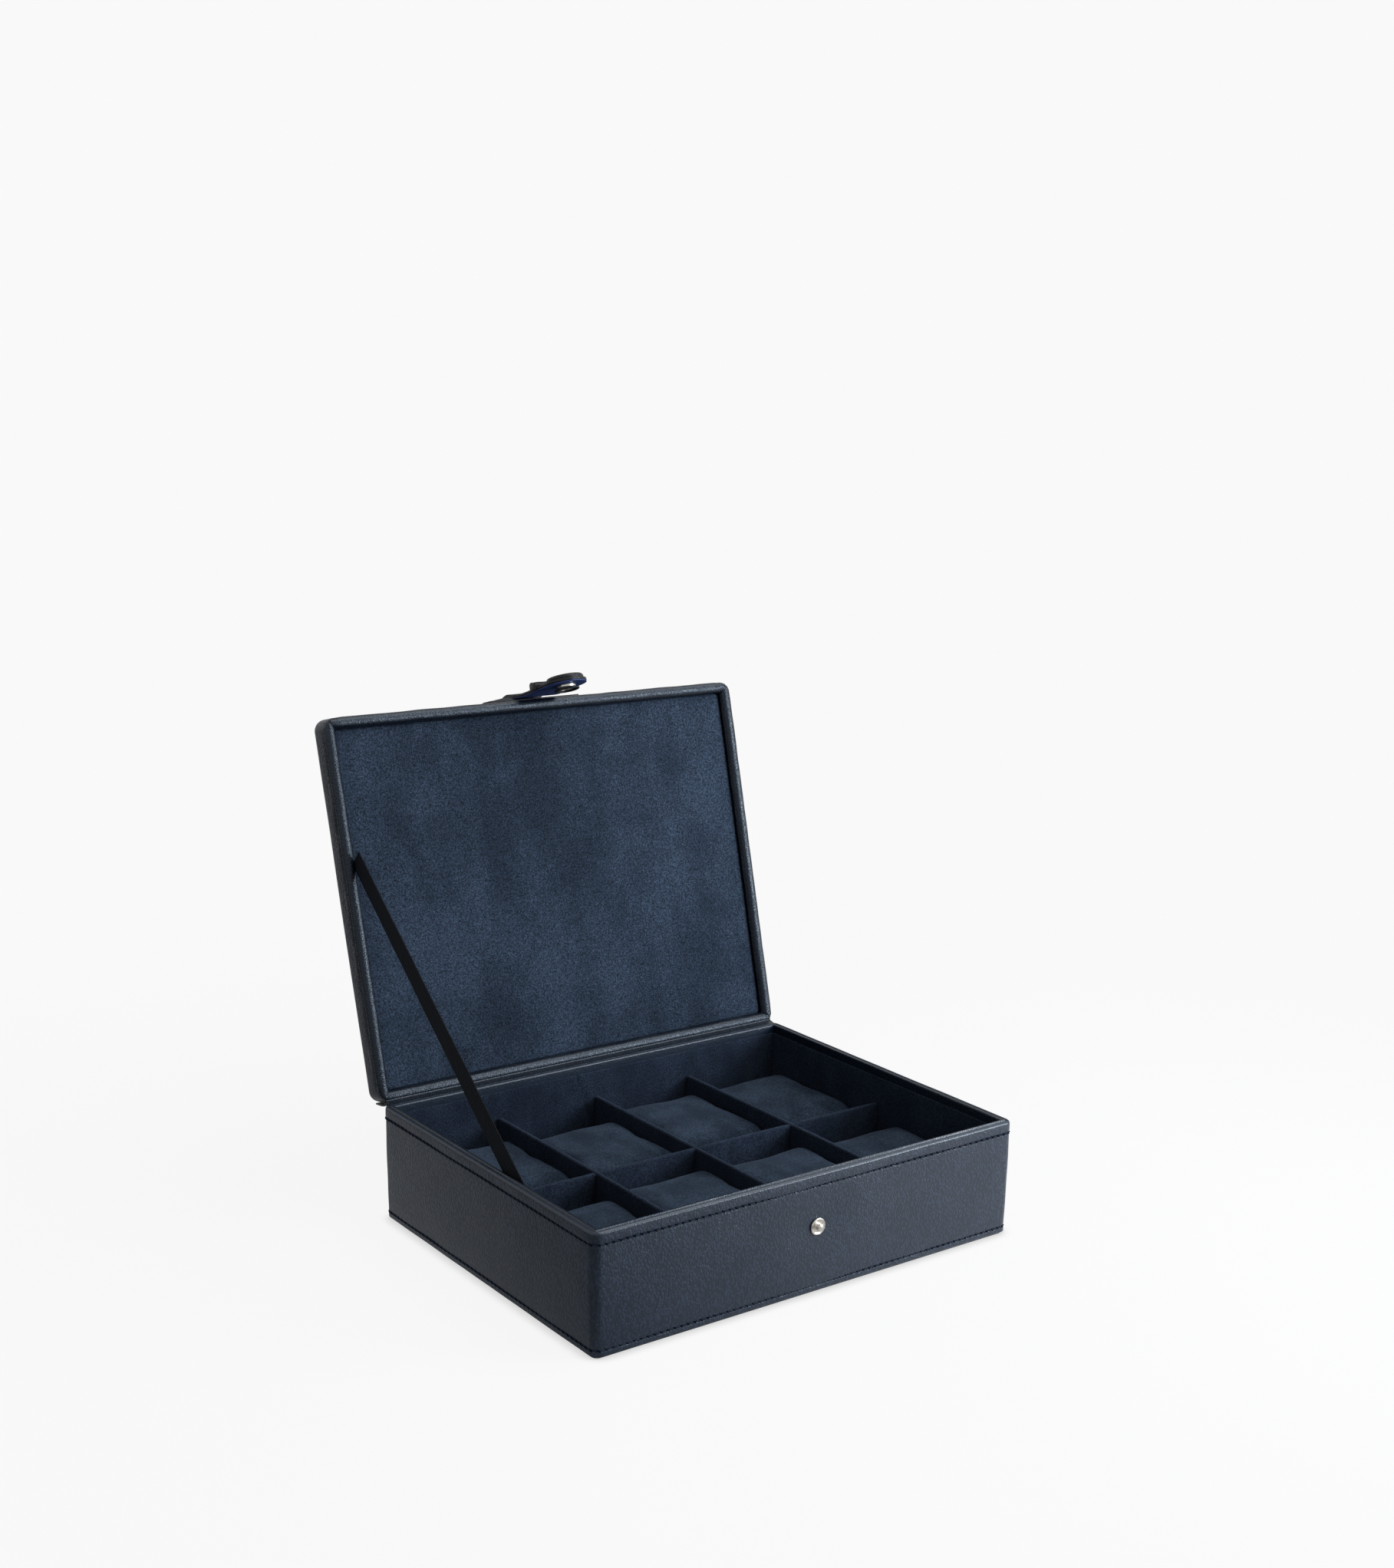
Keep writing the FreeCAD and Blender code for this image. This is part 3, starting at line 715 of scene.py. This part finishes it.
def soft_board(name, low, high, rounding, material, bow=0.0, replaced=(), crease_at=None):
    """A suede-covered card with softly rounded edges and a slightly uneven face."""
    piece = block(name, low, high)
    round_edges(piece, rounding, 3, lambda a, b: True)
    thin = "x" if high[0] - low[0] < high[1] - low[1] else "y"
    long = "y" if thin == "x" else "x"
    i = "xyz".index(long)
    places = spaced(low[i] + 2, high[i] - 2, 6)
    if crease_at is not None:
        places += [crease_at + 0.9 * step for step in range(-11, 9)]
    slice_up(piece, long, places)
    slice_up(piece, "z", spaced(low[2] + 2, high[2] - 2, 7))

    def push(p):
        share = (p[i] - low[i]) / (high[i] - low[i])
        side = bow * math.sin(math.pi * share) + 0.14 * ripple(*(p / 22))
        top = 0.12 * ripple(p.x / 12, p.y / 12, 4) if p.z > high[2] - 2 else 0
        if crease_at is not None:
            slant = p[i] - crease_at + (p.z - 40) * 0.3
            side += 0.9 * dip(slant, 1.0) - 0.6 * dip(slant - 2.6, 1.6) - 0.4 * dip(slant + 3, 2)
        return (side, 0, top) if thin == "x" else (0, side, top)
    mould(piece, push)
    finish_piece(smooth(piece, 60), material, "tray", replaced)
    return piece


def tray_inside():
    """The linings of the walls and the dividers between the bays."""
    x, y = half_width - wall_inner, half_depth - wall_inner
    xo, yo = half_width - wall_lining_outer, half_depth - wall_lining_outer
    for side, low, high in (("front", (-xo, -yo), (xo, -y)), ("back", (-xo, y), (xo, yo)),
                            ("left", (-xo, -y), (-x, y)), ("right", (x, -y), (xo, y))):
        soft_board("lining_" + side, (*low, floor_top), (*high, lining_top), 0.6, bay_suede, 0,
                   [side + "_lining_panel"], crease_at=-7.5 if side == "back" else None)
    for index, (side, bow) in enumerate((("left", 0.5), ("middle", -0.4), ("right", 0.4)), 1):
        x0 = -x + index * bay_width + (index - 1) * divider_thickness
        low = (x0, -y + 0.2, floor_top)
        high = (x0 + divider_thickness, y - 0.2, divider_top)
        soft_board("divider_" + side, low, high, 1.0, bay_suede, bow, ["long_divider_" + side])
    half = divider_thickness / 2
    for index in range(4):
        x0 = -x + index * (bay_width + divider_thickness)
        low = (x0 - (0.9 if index else -0.2), -half, floor_top)
        high = (x0 + bay_width + (0.9 if index < 3 else -0.2), half, divider_top - 0.25)
        soft_board(f"divider_across_{index + 1}", low, high, 0.9, bay_suede, 0.2,
                   ["cross_divider"])


def sewn_cushion():
    """One cushion in the middle of the box: a filled suede loaf, crowned on top."""
    sx, sy, sz = (size / 2 for size in cushion_size)
    low = Vector((-sx + 0.9, -sy + 1.0, floor_top))
    high = Vector((sx - 0.9, sy - 1.0, floor_top + 2 * sz - 2.4))
    piece = block("cushion", low, high)
    round_edges(piece, 11.0, 8, lambda a, b: a.z > high.z - 1 and b.z > high.z - 1
                and abs(a.y - b.y) < 0.1)
    round_edges(piece, 4.0, 4, lambda a, b: a.z < low.z + 1 and b.z < low.z + 1
                and abs(a.y - b.y) < 0.1)
    round_edges(piece, 1.8, 3, lambda a, b: abs(a.x) > sx - 1.2 and abs(b.x) > sx - 1.2)
    slice_up(piece, "y", spaced(-30, 30, 6))
    mould(piece, lambda p: (0, 0, 1.6 * math.cos(p.y / sy * 1.4) if p.z > 20 else 0))
    piece.data.remesh_voxel_size = mm(3.2)
    pick_up(piece)
    bpy.ops.object.voxel_remesh()
    before = [v.co.copy() for v in piece.data.vertices]
    fill(piece)
    limit = mm(1.0, 1.2, 1.6)
    for vertex, start in zip(piece.data.vertices, before):
        move = vertex.co - start
        vertex.co = start + Vector(max(-limit[i], min(limit[i], move[i])) for i in range(3))
        vertex.co.z = max(vertex.co.z, mm(floor_top))
    modifier(piece, "SUBSURF", levels=1, render_levels=1)
    modifier(piece, "SMOOTH", factor=0.5, iterations=4)
    return piece


def fill(piece):
    """Lets the cover swell under the pressure of its filling."""
    frames = 20
    scene = bpy.context.scene
    cloth = piece.modifiers.new("filling", "CLOTH")
    cloth.settings.use_pressure = True
    cloth.settings.uniform_pressure_force = 4.0
    cloth.settings.effector_weights.gravity = 0.0
    cloth.settings.quality = 6
    cloth.point_cache.frame_start = 1
    cloth.point_cache.frame_end = frames
    for number in range(1, frames + 1):
        scene.frame_set(number)
    pick_up(piece)
    bpy.ops.object.modifier_apply(modifier="filling")
    scene.frame_set(1)


def seam_ring(name, cushion, x):
    """A fine raised seam round a cushion's side, along the cushion's own outline."""
    pick_up(cushion)
    bpy.ops.object.duplicate()
    ring = named(bpy.context.object, name)
    edit(ring)
    bpy.ops.mesh.bisect(plane_co=mm(x, 0, 0), plane_no=(1, 0, 0), clear_inner=True,
                        clear_outer=True)
    bpy.ops.mesh.select_all(action="SELECT")
    bpy.ops.mesh.remove_doubles(threshold=mm(0.3))
    leave_edit()
    bpy.ops.object.convert(target="CURVE")
    ring = bpy.context.object
    ring.data.bevel_depth = mm(0.45)
    ring.data.bevel_resolution = 2
    bpy.ops.object.convert(target="MESH")
    return bpy.context.object


def cushions():
    """Copies of the sewn cushion and its seams in all bays, each settled in its own way."""
    first = sewn_cushion()
    sx = cushion_size[0] / 2
    rings = [seam_ring("cushion_seam", first, side * (sx - 1.9)) for side in (-1, 1)]
    sewn = [(first, "pad")] + [(ring, "pad_seam") for ring in rings]
    row_middle = (bay_length + divider_thickness) / 2
    for row, row_y, places, row_seed in (("back", row_middle, back_row_places, 11),
                                         ("front", -row_middle, front_row_places, 0)):
        for column, place in enumerate(places):
            x = -half_width + wall_inner + column * (bay_width + divider_thickness) + bay_width / 2
            at = Vector((x, row_y + place * cushion_play, 0))
            seed = column * 3 + row_seed

            def settle_in(p):
                wave = wander(p - at, 24, 0.55, seed)
                sag = -0.7 * dip((p.x - at.x) / 14 + math.sin(seed), 1) if p.z > 25 else 0
                side = 1 - dip(abs(p.x - at.x) - sx, 3)
                return wave[0] * 0.3, wave[1], (wave[2] * side + sag) if p.z > 12 else 0
            body = f"cushion_{row}_{column + 1}"
            for part, kind in sewn:
                copy = named(copy_of(part), f"{kind}_{row}_{column + 1}")
                copy.data.transform(Matrix.Translation(mm(*at)))
                mould(copy, settle_in)
                finish_piece(smooth(copy, 60), cushion_suede, body, [body])
    for part, kind in sewn:
        bpy.data.objects.remove(part)


# Bands: strap, hinge leathers, ribbon

def band(name, line, width, resolution=10):
    """A thin strip along (y, z) points in millimetres, of a width about x = 0."""
    put_down()
    curve = bpy.data.curves.new(name, "CURVE")
    curve.dimensions = "2D"
    curve.fill_mode = "NONE"
    spline = curve.splines.new("BEZIER")
    spline.bezier_points.add(len(line) - 1)
    for point, (y, z) in zip(spline.bezier_points, line):
        point.co = mm(y, z, 0)
        point.handle_left_type = point.handle_right_type = "AUTO"
    curve.resolution_u = resolution
    curve.extrude = mm(width / 2)
    pick_up(new_object(name, curve))
    bpy.ops.object.convert(target="MESH")
    piece = named(bpy.context.object, name)
    piece.data.transform(Matrix(((0, 0, 1, 0), (1, 0, 0, 0), (0, 1, 0, 0), (0, 0, 0, 1))))
    edit(piece)
    bpy.ops.mesh.remove_doubles(threshold=mm(0.02))
    leave_edit()
    slice_up(piece, "x", spaced(-width / 2, width / 2, 6))
    return piece


def thicken(piece, thickness, side, rounding):
    """Gives a strip its thickness on one side, 1 or -1, with slightly rounded edges."""
    modifier(piece, "SOLIDIFY", thickness=mm(thickness), offset=side, use_even_offset=True)
    modifier(piece, "BEVEL", width=mm(rounding), segments=2, limit_method="ANGLE",
             angle_limit=math.radians(60))
    return smooth(piece, 50)


def beside(line, distance):
    """A line of (h, w) points moved out by a distance."""
    moved = []
    for index, (h, w) in enumerate(line):
        before, after = line[max(index - 1, 0)], line[min(index + 1, len(line) - 1)]
        dh, dw = after[0] - before[0], after[1] - before[1]
        size = math.hypot(dh, dw)
        moved.append((h - dw / size * distance, w + dh / size * distance))
    return moved


def on_front(line):
    """(h, w) points beside the shut lid's front as (y, z)."""
    return [(-half_depth - h, rim_height + w) for h, w in line]


def round_tip(piece, tip_z):
    """Rounds the lower end of the strap to a half circle."""
    radius = strap_width / 2

    def push(p):
        up = p.z - tip_z
        if up >= radius:
            return 0, 0, 0
        room = math.sqrt(max(radius ** 2 - (radius - max(up, 0.25)) ** 2, 0))
        return p.x * (room / radius - 1), 0, 0
    mould(piece, push)


def lean_in(piece):
    """Turns what hangs below the strap's joint a little towards the front wall."""
    y0, z0 = -half_depth - strap_standoff, rim_height + strap_joint

    def push(p):
        share = as_share((z0 - p.z) / 10)
        turn = math.radians(strap_lean) * share * share * (3 - 2 * share)
        y, z = p.y - y0, p.z - z0
        return (0, y * (math.cos(turn) - 1) - z * math.sin(turn),
                y * math.sin(turn) + z * (math.cos(turn) - 1))
    mould(piece, push)
    return piece


def strap():
    """The strap's leather over its whole length, and the blue facing inside its free end."""
    tip = rim_height + beside(under_strap, strap_total)[-1][1]
    outer = band("strap_band", on_front(beside(under_strap, strap_facing)), strap_width, 14)
    round_tip(outer, tip)
    thicken(outer, strap_leather, strap_outside, 0.35)
    facing = band("strap_facing", on_front(under_strap[3:]), strap_width - 0.3, 14)
    round_tip(facing, tip)
    thicken(facing, strap_facing - 0.02, strap_outside, 0.15)
    for piece, material, slot, replaced in (
            (outer, strap_hide, "strap_leather", ["strap_root", "strap_tongue"]),
            (facing, blue_facing, "blue_lining", ["strap_lining"])):
        open_up(lean_in(piece))
        piece.data.materials.clear()
        piece.data.materials.append(material)
        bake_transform(piece)
        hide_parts(*replaced)


def up_lid(up, out):
    """The (y, z) of a point up along the open lid's mouth and out behind it."""
    lean = lid_open_angle - math.pi / 2
    return (half_depth + up * math.sin(lean) + out * math.cos(lean),
            rim_height + up * math.cos(lean) - out * math.sin(lean))


def hinge_leathers():
    """The spine leather outside the hinge and the narrow strip inside it."""
    across = mm(0, half_depth, rim_height - 4), mm(0, *up_lid(4, 0))
    behind = mm(0, half_depth + 0.3, rim_height - 0.2), mm(0, half_depth + 4.3, rim_height + 0.1)
    spine_line = [(half_depth + 0.1, rim_height - 30), (half_depth + 0.1, rim_height - 15),
                  (half_depth + 0.1, rim_height - 3), (half_depth + 0.35, rim_height - 0.6),
                  up_lid(-0.4, 1.4), up_lid(-0.9, 5), up_lid(-0.6, 10), up_lid(-0.1, 14.0)]
    inner_line = [(half_depth - 3.6, rim_height - 0.2), (half_depth - 2.2, rim_height + 0.05),
                  (half_depth - 1.0, rim_height + 0.35), up_lid(1.6, closing_gap + 0.35),
                  up_lid(3.0, closing_gap + 0.05)]
    for name, line, thickness, side, bend, node, material, slot in (
            ("spine_leather", spine_line, 0.8, -1, behind, "hinge_spine_leather", wall_leather,
             "grained_leather"),
            ("inner_hinge", inner_line, 0.5, 1, across, "inner_hinge_strip", roll_leather_and_inside_shade,
             "binding_leather")):
        piece = band(name, line, 2 * (half_width - 3))
        thicken(piece, thickness, side, 0.12)
        piece.data.materials.append(material)
        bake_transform(piece)
        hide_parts(node)


def ribbon_lean(z):
    """How far in from its plane the ribbon runs: away from the lining below, tucked in above."""
    return 0.1 - 0.9 * as_share((z - ribbon_foot_z) / 140)


def ribbon():
    """The stay: a woven ribbon from the tray's left lining to the lid's rolled edge."""
    width, thickness, twist_low, twist_high = 11.0, 0.5, -0.12, -0.03
    low = mm(0, -half_depth + 73, ribbon_foot_z)
    high = mm(0, *up_lid(134.0, closing_gap + panel_depth - 5.5))
    run = high - low
    put_down()
    bpy.ops.mesh.primitive_grid_add(x_subdivisions=4, y_subdivisions=70, size=1, calc_uvs=True)
    piece = named(bpy.context.object, "ribbon")
    for loop in piece.data.uv_layers[0].data:
        loop.uv = (loop.uv.x * mm(width), loop.uv.y * run.length)
    along = run.normalized()
    face = Vector((1, 0, 0))
    turn = turn_to(along.cross(face), along, face)
    scale = Matrix.Diagonal((mm(width), run.length, 1, 1))
    centre = (low + high) / 2 + mm(-half_width + 6.9, 0, 0)
    for vertex in piece.data.vertices:
        share = vertex.co.y + 0.5
        twist = twist_low + (twist_high - twist_low) * min(share * 1.25, 1)
        flat = vertex.co.x * mm(width)
        vertex.co.x = flat * math.cos(twist) / mm(width)
        vertex.co.z = flat * math.sin(twist)
    piece.data.transform(Matrix.Translation(centre) @ turn @ scale)
    mould(piece, lambda p: (0.25 * ripple(p.y / 30, p.z / 30, 8) + ribbon_lean(p.z), 0, 0))
    modifier(piece, "SOLIDIFY", thickness=mm(thickness), offset=0)
    smooth(piece, 60)
    piece.data.materials.append(ribbon_cloth)
    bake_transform(piece)
    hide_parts("ribbon_stay")


# Sewing

def one_stitch():
    """A short slanting stitch of thread that dips into the leather at both ends."""
    put_down()
    half_length = 1.55
    bpy.ops.mesh.primitive_cylinder_add(vertices=6, radius=mm(0.42), depth=mm(2 * half_length),
                                        rotation=(0, math.pi / 2, 0))
    stitch = settle(bpy.context.object)
    slice_up(stitch, "x", (-1.0, -0.4, 0.4, 1.0))
    mould(stitch, lambda p: (0, -0.3 * (abs(p.x) / half_length) ** 3 - 0.04, p.x * 0.28))
    return stitch


def one_hole_shade():
    """A dark, flattened bead at a slanting needle hole drawn open by the thread: painted shade."""
    put_down()
    bpy.ops.mesh.primitive_uv_sphere_add(segments=8, ring_count=5, radius=mm(1))
    hole = bpy.context.object
    hole.scale = (1.0, 0.33, 0.48)
    settle(hole)
    mould(hole, lambda p: (0, 0, p.x * 0.75))
    return hole


def sew(name, stitch, places, body, material):
    """Copies of the stitch at places: (point in mm, direction along, direction out)."""
    copies = []
    for point, along, out in places:
        copy = copy_of(stitch)
        along, out = along.normalized(), out.normalized()
        turn = turn_to(along, out, along.cross(out))
        copy.data.transform(Matrix.Translation(mm(*point)) @ turn)
        copies.append(copy)
    put_down()
    for copy in copies:
        copy.select_set(True)
    bpy.context.view_layer.objects.active = copies[0]
    bpy.ops.object.join()
    row = named(bpy.context.object, name)
    return finish_piece(smooth(row, 60), material, body)


def round_the_box(z, offset, start_at=0.0):
    """Evenly spaced places round the outside of the box at a height."""
    r, steps = upright_corner, 8
    x, y = half_width - r, half_depth - r
    track = []
    for cx, cy, start in ((x, -y, -90), (x, y, 0), (-x, y, 90), (-x, -y, 180)):
        for step in range(steps + 1):
            turn = math.radians(start + step * 90 / steps)
            track.append((Vector((cx, cy, z)), Vector((math.cos(turn), math.sin(turn), 0))))
    points = [c + n * (r + offset) for c, n in track]
    total = sum((points[i] - points[i - 1]).length for i in range(len(points)))
    count = round(total / stitch_pitch)
    places, step, travelled = [], total / count, 0.0
    target = start_at * step
    for i in range(len(points)):
        a, b = points[i - 1], points[i]
        length = (b - a).length
        while target <= travelled + length and len(places) < count:
            share = (target - travelled) / length
            out = track[i - 1][1].lerp(track[i][1], share)
            places.append((a.lerp(b, share), b - a, out))
            target += step
        travelled += length
    return places


def sewing():
    """Rows of thread and of painted needle-hole shade round the box, along the top and the bottom
    seam.
    """
    stitch = one_stitch()
    hole = one_hole_shade()
    for name, z, proud in (("top", top_seam, 0.1), ("bottom", bottom_seam, -0.05)):
        sew("stitches_" + name, stitch, round_the_box(z, proud), "tray", thread)
        sew("stitch_hole_shade_" + name, hole, round_the_box(z, proud - 0.02, 0.5), "tray", painted_hole_shade)
    bpy.data.objects.remove(stitch)
    bpy.data.objects.remove(hole)


# Metal

def turned(name, profile, centre, axis, material, body, replaced, opened=False):
    """A round part spun from (radius, height) points in millimetres, on an axis."""
    put_down()
    mesh = bpy.data.meshes.new(name)
    mesh.from_pydata([mm(r, 0, h) for r, h in profile],
                     [(i, i + 1) for i in range(len(profile) - 1)], [])
    piece = new_object(name, mesh)
    edit(piece)
    bpy.ops.mesh.spin(steps=40, angle=2 * math.pi, center=(0, 0, 0), axis=(0, 0, 1))
    bpy.ops.mesh.select_all(action="SELECT")
    bpy.ops.mesh.remove_doubles(threshold=mm(0.01))
    bpy.ops.mesh.normals_make_consistent(inside=False)
    leave_edit()
    turn = Vector((0, 0, 1)).rotation_difference(axis.normalized()).to_matrix().to_4x4()
    piece.data.transform(Matrix.Translation(mm(*centre)) @ turn)
    smooth(piece, 40)
    if opened:
        open_up(lean_in(piece))
    return finish_piece(piece, material, body, replaced)


def stud():
    """The press stud on the front wall."""
    profile = ((0, -4.2), (1.5, -4.2), (1.5, -0.2), (4.3, -0.2), (4.6, 0.1), (4.55, 0.5),
               (4.2, 0.8), (3.8, 0.75), (3.3, 0.35), (2.2, 0.3), (1.75, 0.5), (1.6, 0.9),
               (1.62, 1.35), (1.95, 1.75), (2.1, 2.1), (1.95, 2.6), (1.4, 2.95), (0.7, 3.15),
               (0, 3.2))
    turned("press_stud", profile, (0, -half_depth, stud_height), Vector((0, -1, 0)), nickel, "tray",
           ["snap_stud"])


def snap_on_strap():
    """Covered head and roll on the strap's outside, socket and leather ring on its inside."""
    (h, w), (h2, w2) = under_strap[-2:]
    along = Vector((0, h - h2, w2 - w)).normalized()
    out = Vector((0, along.z, -along.y))
    seat = Vector((0, -half_depth - h, rim_height + w))
    head = ((0, -0.4), (10.2, -0.4), (10.6, 0.2), (10.6, 1.3), (10.3, 2.0), (9.7, 2.5), (9.0, 2.55),
            (8.7, 2.35), (8.3, 2.6), (6.5, 2.85), (3.0, 3.0), (0, 3.05))
    turned("snap_head", head, seat + out * strap_total, out, strap_hide, "strap",
           ["strap_head", "snap_cap"], True)
    socket = ((3.1, 0.5), (3.1, 2.15), (3.35, 2.4), (4.0, 2.4), (4.4, 2.1), (4.7, 2.1), (5.1, 1.9),
              (5.35, 1.4), (5.35, 0.3), (5.0, -0.1), (0, -0.1), (0, 0.5), (3.1, 0.5))
    turned("snap_socket_ring", socket, seat, -out, nickel, "strap", ["snap_socket"], True)
    ring = ((5.4, 1.9), (5.4, 2.9), (5.6, 3.1), (6.8, 3.1), (7.2, 2.8), (7.2, 2.2), (6.9, 1.9),
            (5.4, 1.9))
    turned("socket_leather", ring, seat, -out, strap_hide, "strap", ["socket_washer"], True)

    slope = (4.2 - 0.5) / (snap_drop + 1.0)
    face = half_depth + 4.2 - slope * bar_above_snap + strap_total
    middle = rim_height - snap_drop + bar_above_snap
    bar = block("strap_bar", (-13.5, -face - 3.5, middle - 3.2), (13.5, -face + 0.5, middle + 3.2))
    round_edges(bar, 1.7, 6, lambda a, b: a.y < -face - 3 and b.y < -face - 3
                and abs(a.z - b.z) < 0.1)
    round_edges(bar, 0.8, 3, lambda a, b: abs(a.x) > 13 and abs(b.x) > 13 and a.y < -face + 0.4)
    slice_up(bar, "x", spaced(-12.5, 12.5, 1.6))

    def push(p):
        groove = 0.35 * dip(p.z - middle + 1.4, 0.5)
        return 0, 0.25 * ripple(p.x / 4, p.z / 2, 6) + groove, 0.2 * ripple(p.x / 5, 1, 2)
    mould(bar, push)
    open_up(lean_in(smooth(bar, 50)))
    finish_piece(bar, strap_hide, "strap", ["strap_roll"])


def strap_patch():
    """The thin leather patch under the strap's root, with a raised pad over its left part."""
    bend, pad_x = 6.0, -13.7
    line = [(-34.0, lid_height), (-20.0, lid_height), (-bend, lid_height)]
    for step in range(1, 7):
        turn = math.radians(90 - step * 15)
        line.append((-bend + bend * math.cos(turn), lid_height - bend + bend * math.sin(turn)))
    line += [(0.0, 9.5), (0.05, 6.8)]
    piece = band("patch", on_front([(h + 0.05, w) for h, w in line]), 60.0)
    thicken(piece, patch_thickness, strap_outside, 0.2)
    slice_up(piece, "x", spaced(-28, -13.8, 1.6))

    def push(p):
        above = -half_depth - p.y
        if above < 0.3 or p.x > pad_x:
            return 0, 0, 0
        swell = min((pad_x - p.x) / 2.5, 1) * (1 - 0.8 * dip(min(p.x + 30, 9), 9))
        return 0, -2.0 * swell, 0
    mould(piece, push)
    open_up(piece)
    finish_piece(piece, strap_hide, "lid", ["strap_patch"])


# Solids that are shown as they are, in their own finishes

def keep_solids():
    """The floor lining, the cover below and what is hidden: rivet's backing, boards and foam."""
    finishes = {"floor_lining": bay_suede, "bottom_cover": cover_sheet, "stud_backing": nickel}
    for name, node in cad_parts.items():
        if not node.hide_render:
            node.data.materials.clear()
            node.data.materials.append(finishes.get(name, card))


# Room, light and camera

backdrop_white = 0.947
shadow_share = 0.05
shadow_light = 0.046
room_light = 0.30
mirrored_floor = (0.06, 0.94)
mirrored_sky = 0.7


def pale_floor():
    """A floor that the camera sees white, with the box's shadow near it, and that gloss sees as
    dark on the left and white on the right."""
    put_down()
    bpy.ops.mesh.primitive_plane_add(size=30, location=(0, 0, 0))
    floor = bpy.context.object
    floor.name = "floor"
    material = bpy.data.materials.new("pale_floor")
    material.use_nodes = True
    tree = material.node_tree
    w = Wiring(tree)
    plain = tree.nodes["Principled BSDF"]
    plain.inputs["Base Color"].default_value = (0.8, 0.8, 0.8, 1)
    plain.inputs["Roughness"].default_value = 1.0
    place = w.node("TexCoord").outputs["Object"]
    far = w.node("VectorMath", {"operation": "LENGTH"})
    w.feed(far.inputs[0], place)
    fade = w.between(far.outputs["Value"], 0.25, 0.75)
    dim = w.node("BsdfDiffuse", Color=(shadow_share, shadow_share, shadow_share, 1))
    contact = w.node("AmbientOcclusion", {"samples": 12}, Distance=0.009)
    tight = w.between(contact.outputs["AO"], 0.40, 0.92, 0.74, 1.0)
    near = w.node("AddShader")
    w.feed(near.inputs[0], dim.outputs[0])
    w.feed(near.inputs[1], w.glow(w.sum("MULTIPLY", tight, backdrop_white - shadow_light)))
    seen = w.mix_shaders(fade, near.outputs[0], w.glow(backdrop_white))
    split = w.node("SeparateXYZ", Vector=place)
    side = w.sum("MULTIPLY_ADD", split.outputs["Y"], 0.35, split.outputs["X"])
    mirrored = w.glow(w.between(side, -0.30, 0.14, *mirrored_floor))
    path = w.node("LightPath").outputs
    in_gloss = w.mix_shaders(path["Is Glossy Ray"], plain.outputs[0], mirrored)
    direct = w.sum("MAXIMUM", path["Is Camera Ray"], path["Is Transmission Ray"])
    w.feed(tree.nodes["Material Output"].inputs["Surface"], w.mix_shaders(direct, in_gloss, seen))
    floor.data.materials.append(material)


def studio_world():
    """Plain white light from all round, seen brighter by the camera and by gloss."""
    world = bpy.data.worlds.new("studio")
    bpy.context.scene.world = world
    world.use_nodes = True
    w = Wiring(world.node_tree)
    back = world.node_tree.nodes["Background"]
    back.inputs["Color"].default_value = (1, 1, 1, 1)
    back.inputs["Strength"].default_value = room_light
    white = w.node("Background", Color=(1, 1, 1, 1), Strength=backdrop_white)
    path = w.node("LightPath").outputs
    gloss = w.sum("MULTIPLY", path["Is Glossy Ray"], mirrored_sky)
    mix = w.mix_shaders(w.sum("MAXIMUM", path["Is Camera Ray"], gloss), back.outputs[0],
                        white.outputs[0])
    w.feed(world.node_tree.nodes["World Output"].inputs["Surface"], mix)


def lamp(name, place, target, size, power, colour=(1, 1, 1)):
    """A rectangular lamp at a place, turned to a target."""
    light = bpy.data.lights.new(name, "AREA")
    light.shape = "RECTANGLE"
    light.size, light.size_y = size
    light.energy = power
    light.color = colour
    thing = new_object(name, light)
    thing.location = place
    thing.rotation_euler = (Vector(target) - Vector(place)).to_track_quat("-Z", "Y").to_euler()


def camera():
    """The photograph's view of the box."""
    data = bpy.data.cameras.new("camera")
    data.sensor_fit = "VERTICAL"
    data.sensor_height = 36.0
    data.lens = 47.058
    data.shift_x = -0.01677
    data.shift_y = 0.14057
    data.clip_start = 0.05
    thing = new_object("camera", data)
    thing.location = (-0.614204, -0.841637, 0.451864)
    thing.rotation_euler = (1.268642, -0.017459, -0.637545)
    bpy.context.scene.camera = thing


tray_leather()
lid_cover()
lid_roll()
lid_panel()
tray_inside()
cushions()
hinge_leathers()
ribbon()
strap_patch()
strap()
snap_on_strap()
stud()
sewing()
keep_solids()
pale_floor()
studio_world()
lamp("overhead", (0.55, -0.35, 1.35), (0, 0, 0.1), (1.1, 0.9), 12)
lamp("front_right", (0.62, -0.62, 0.34), (0.05, -0.1, 0.05), (0.35, 0.35), 8.0, cool_tint[:3])
lamp("left", (-1.5, -0.3, 0.7), (0, 0, 0.08), (0.8, 0.8), 1)
camera()
bpy.context.scene.view_settings.view_transform = "Standard"
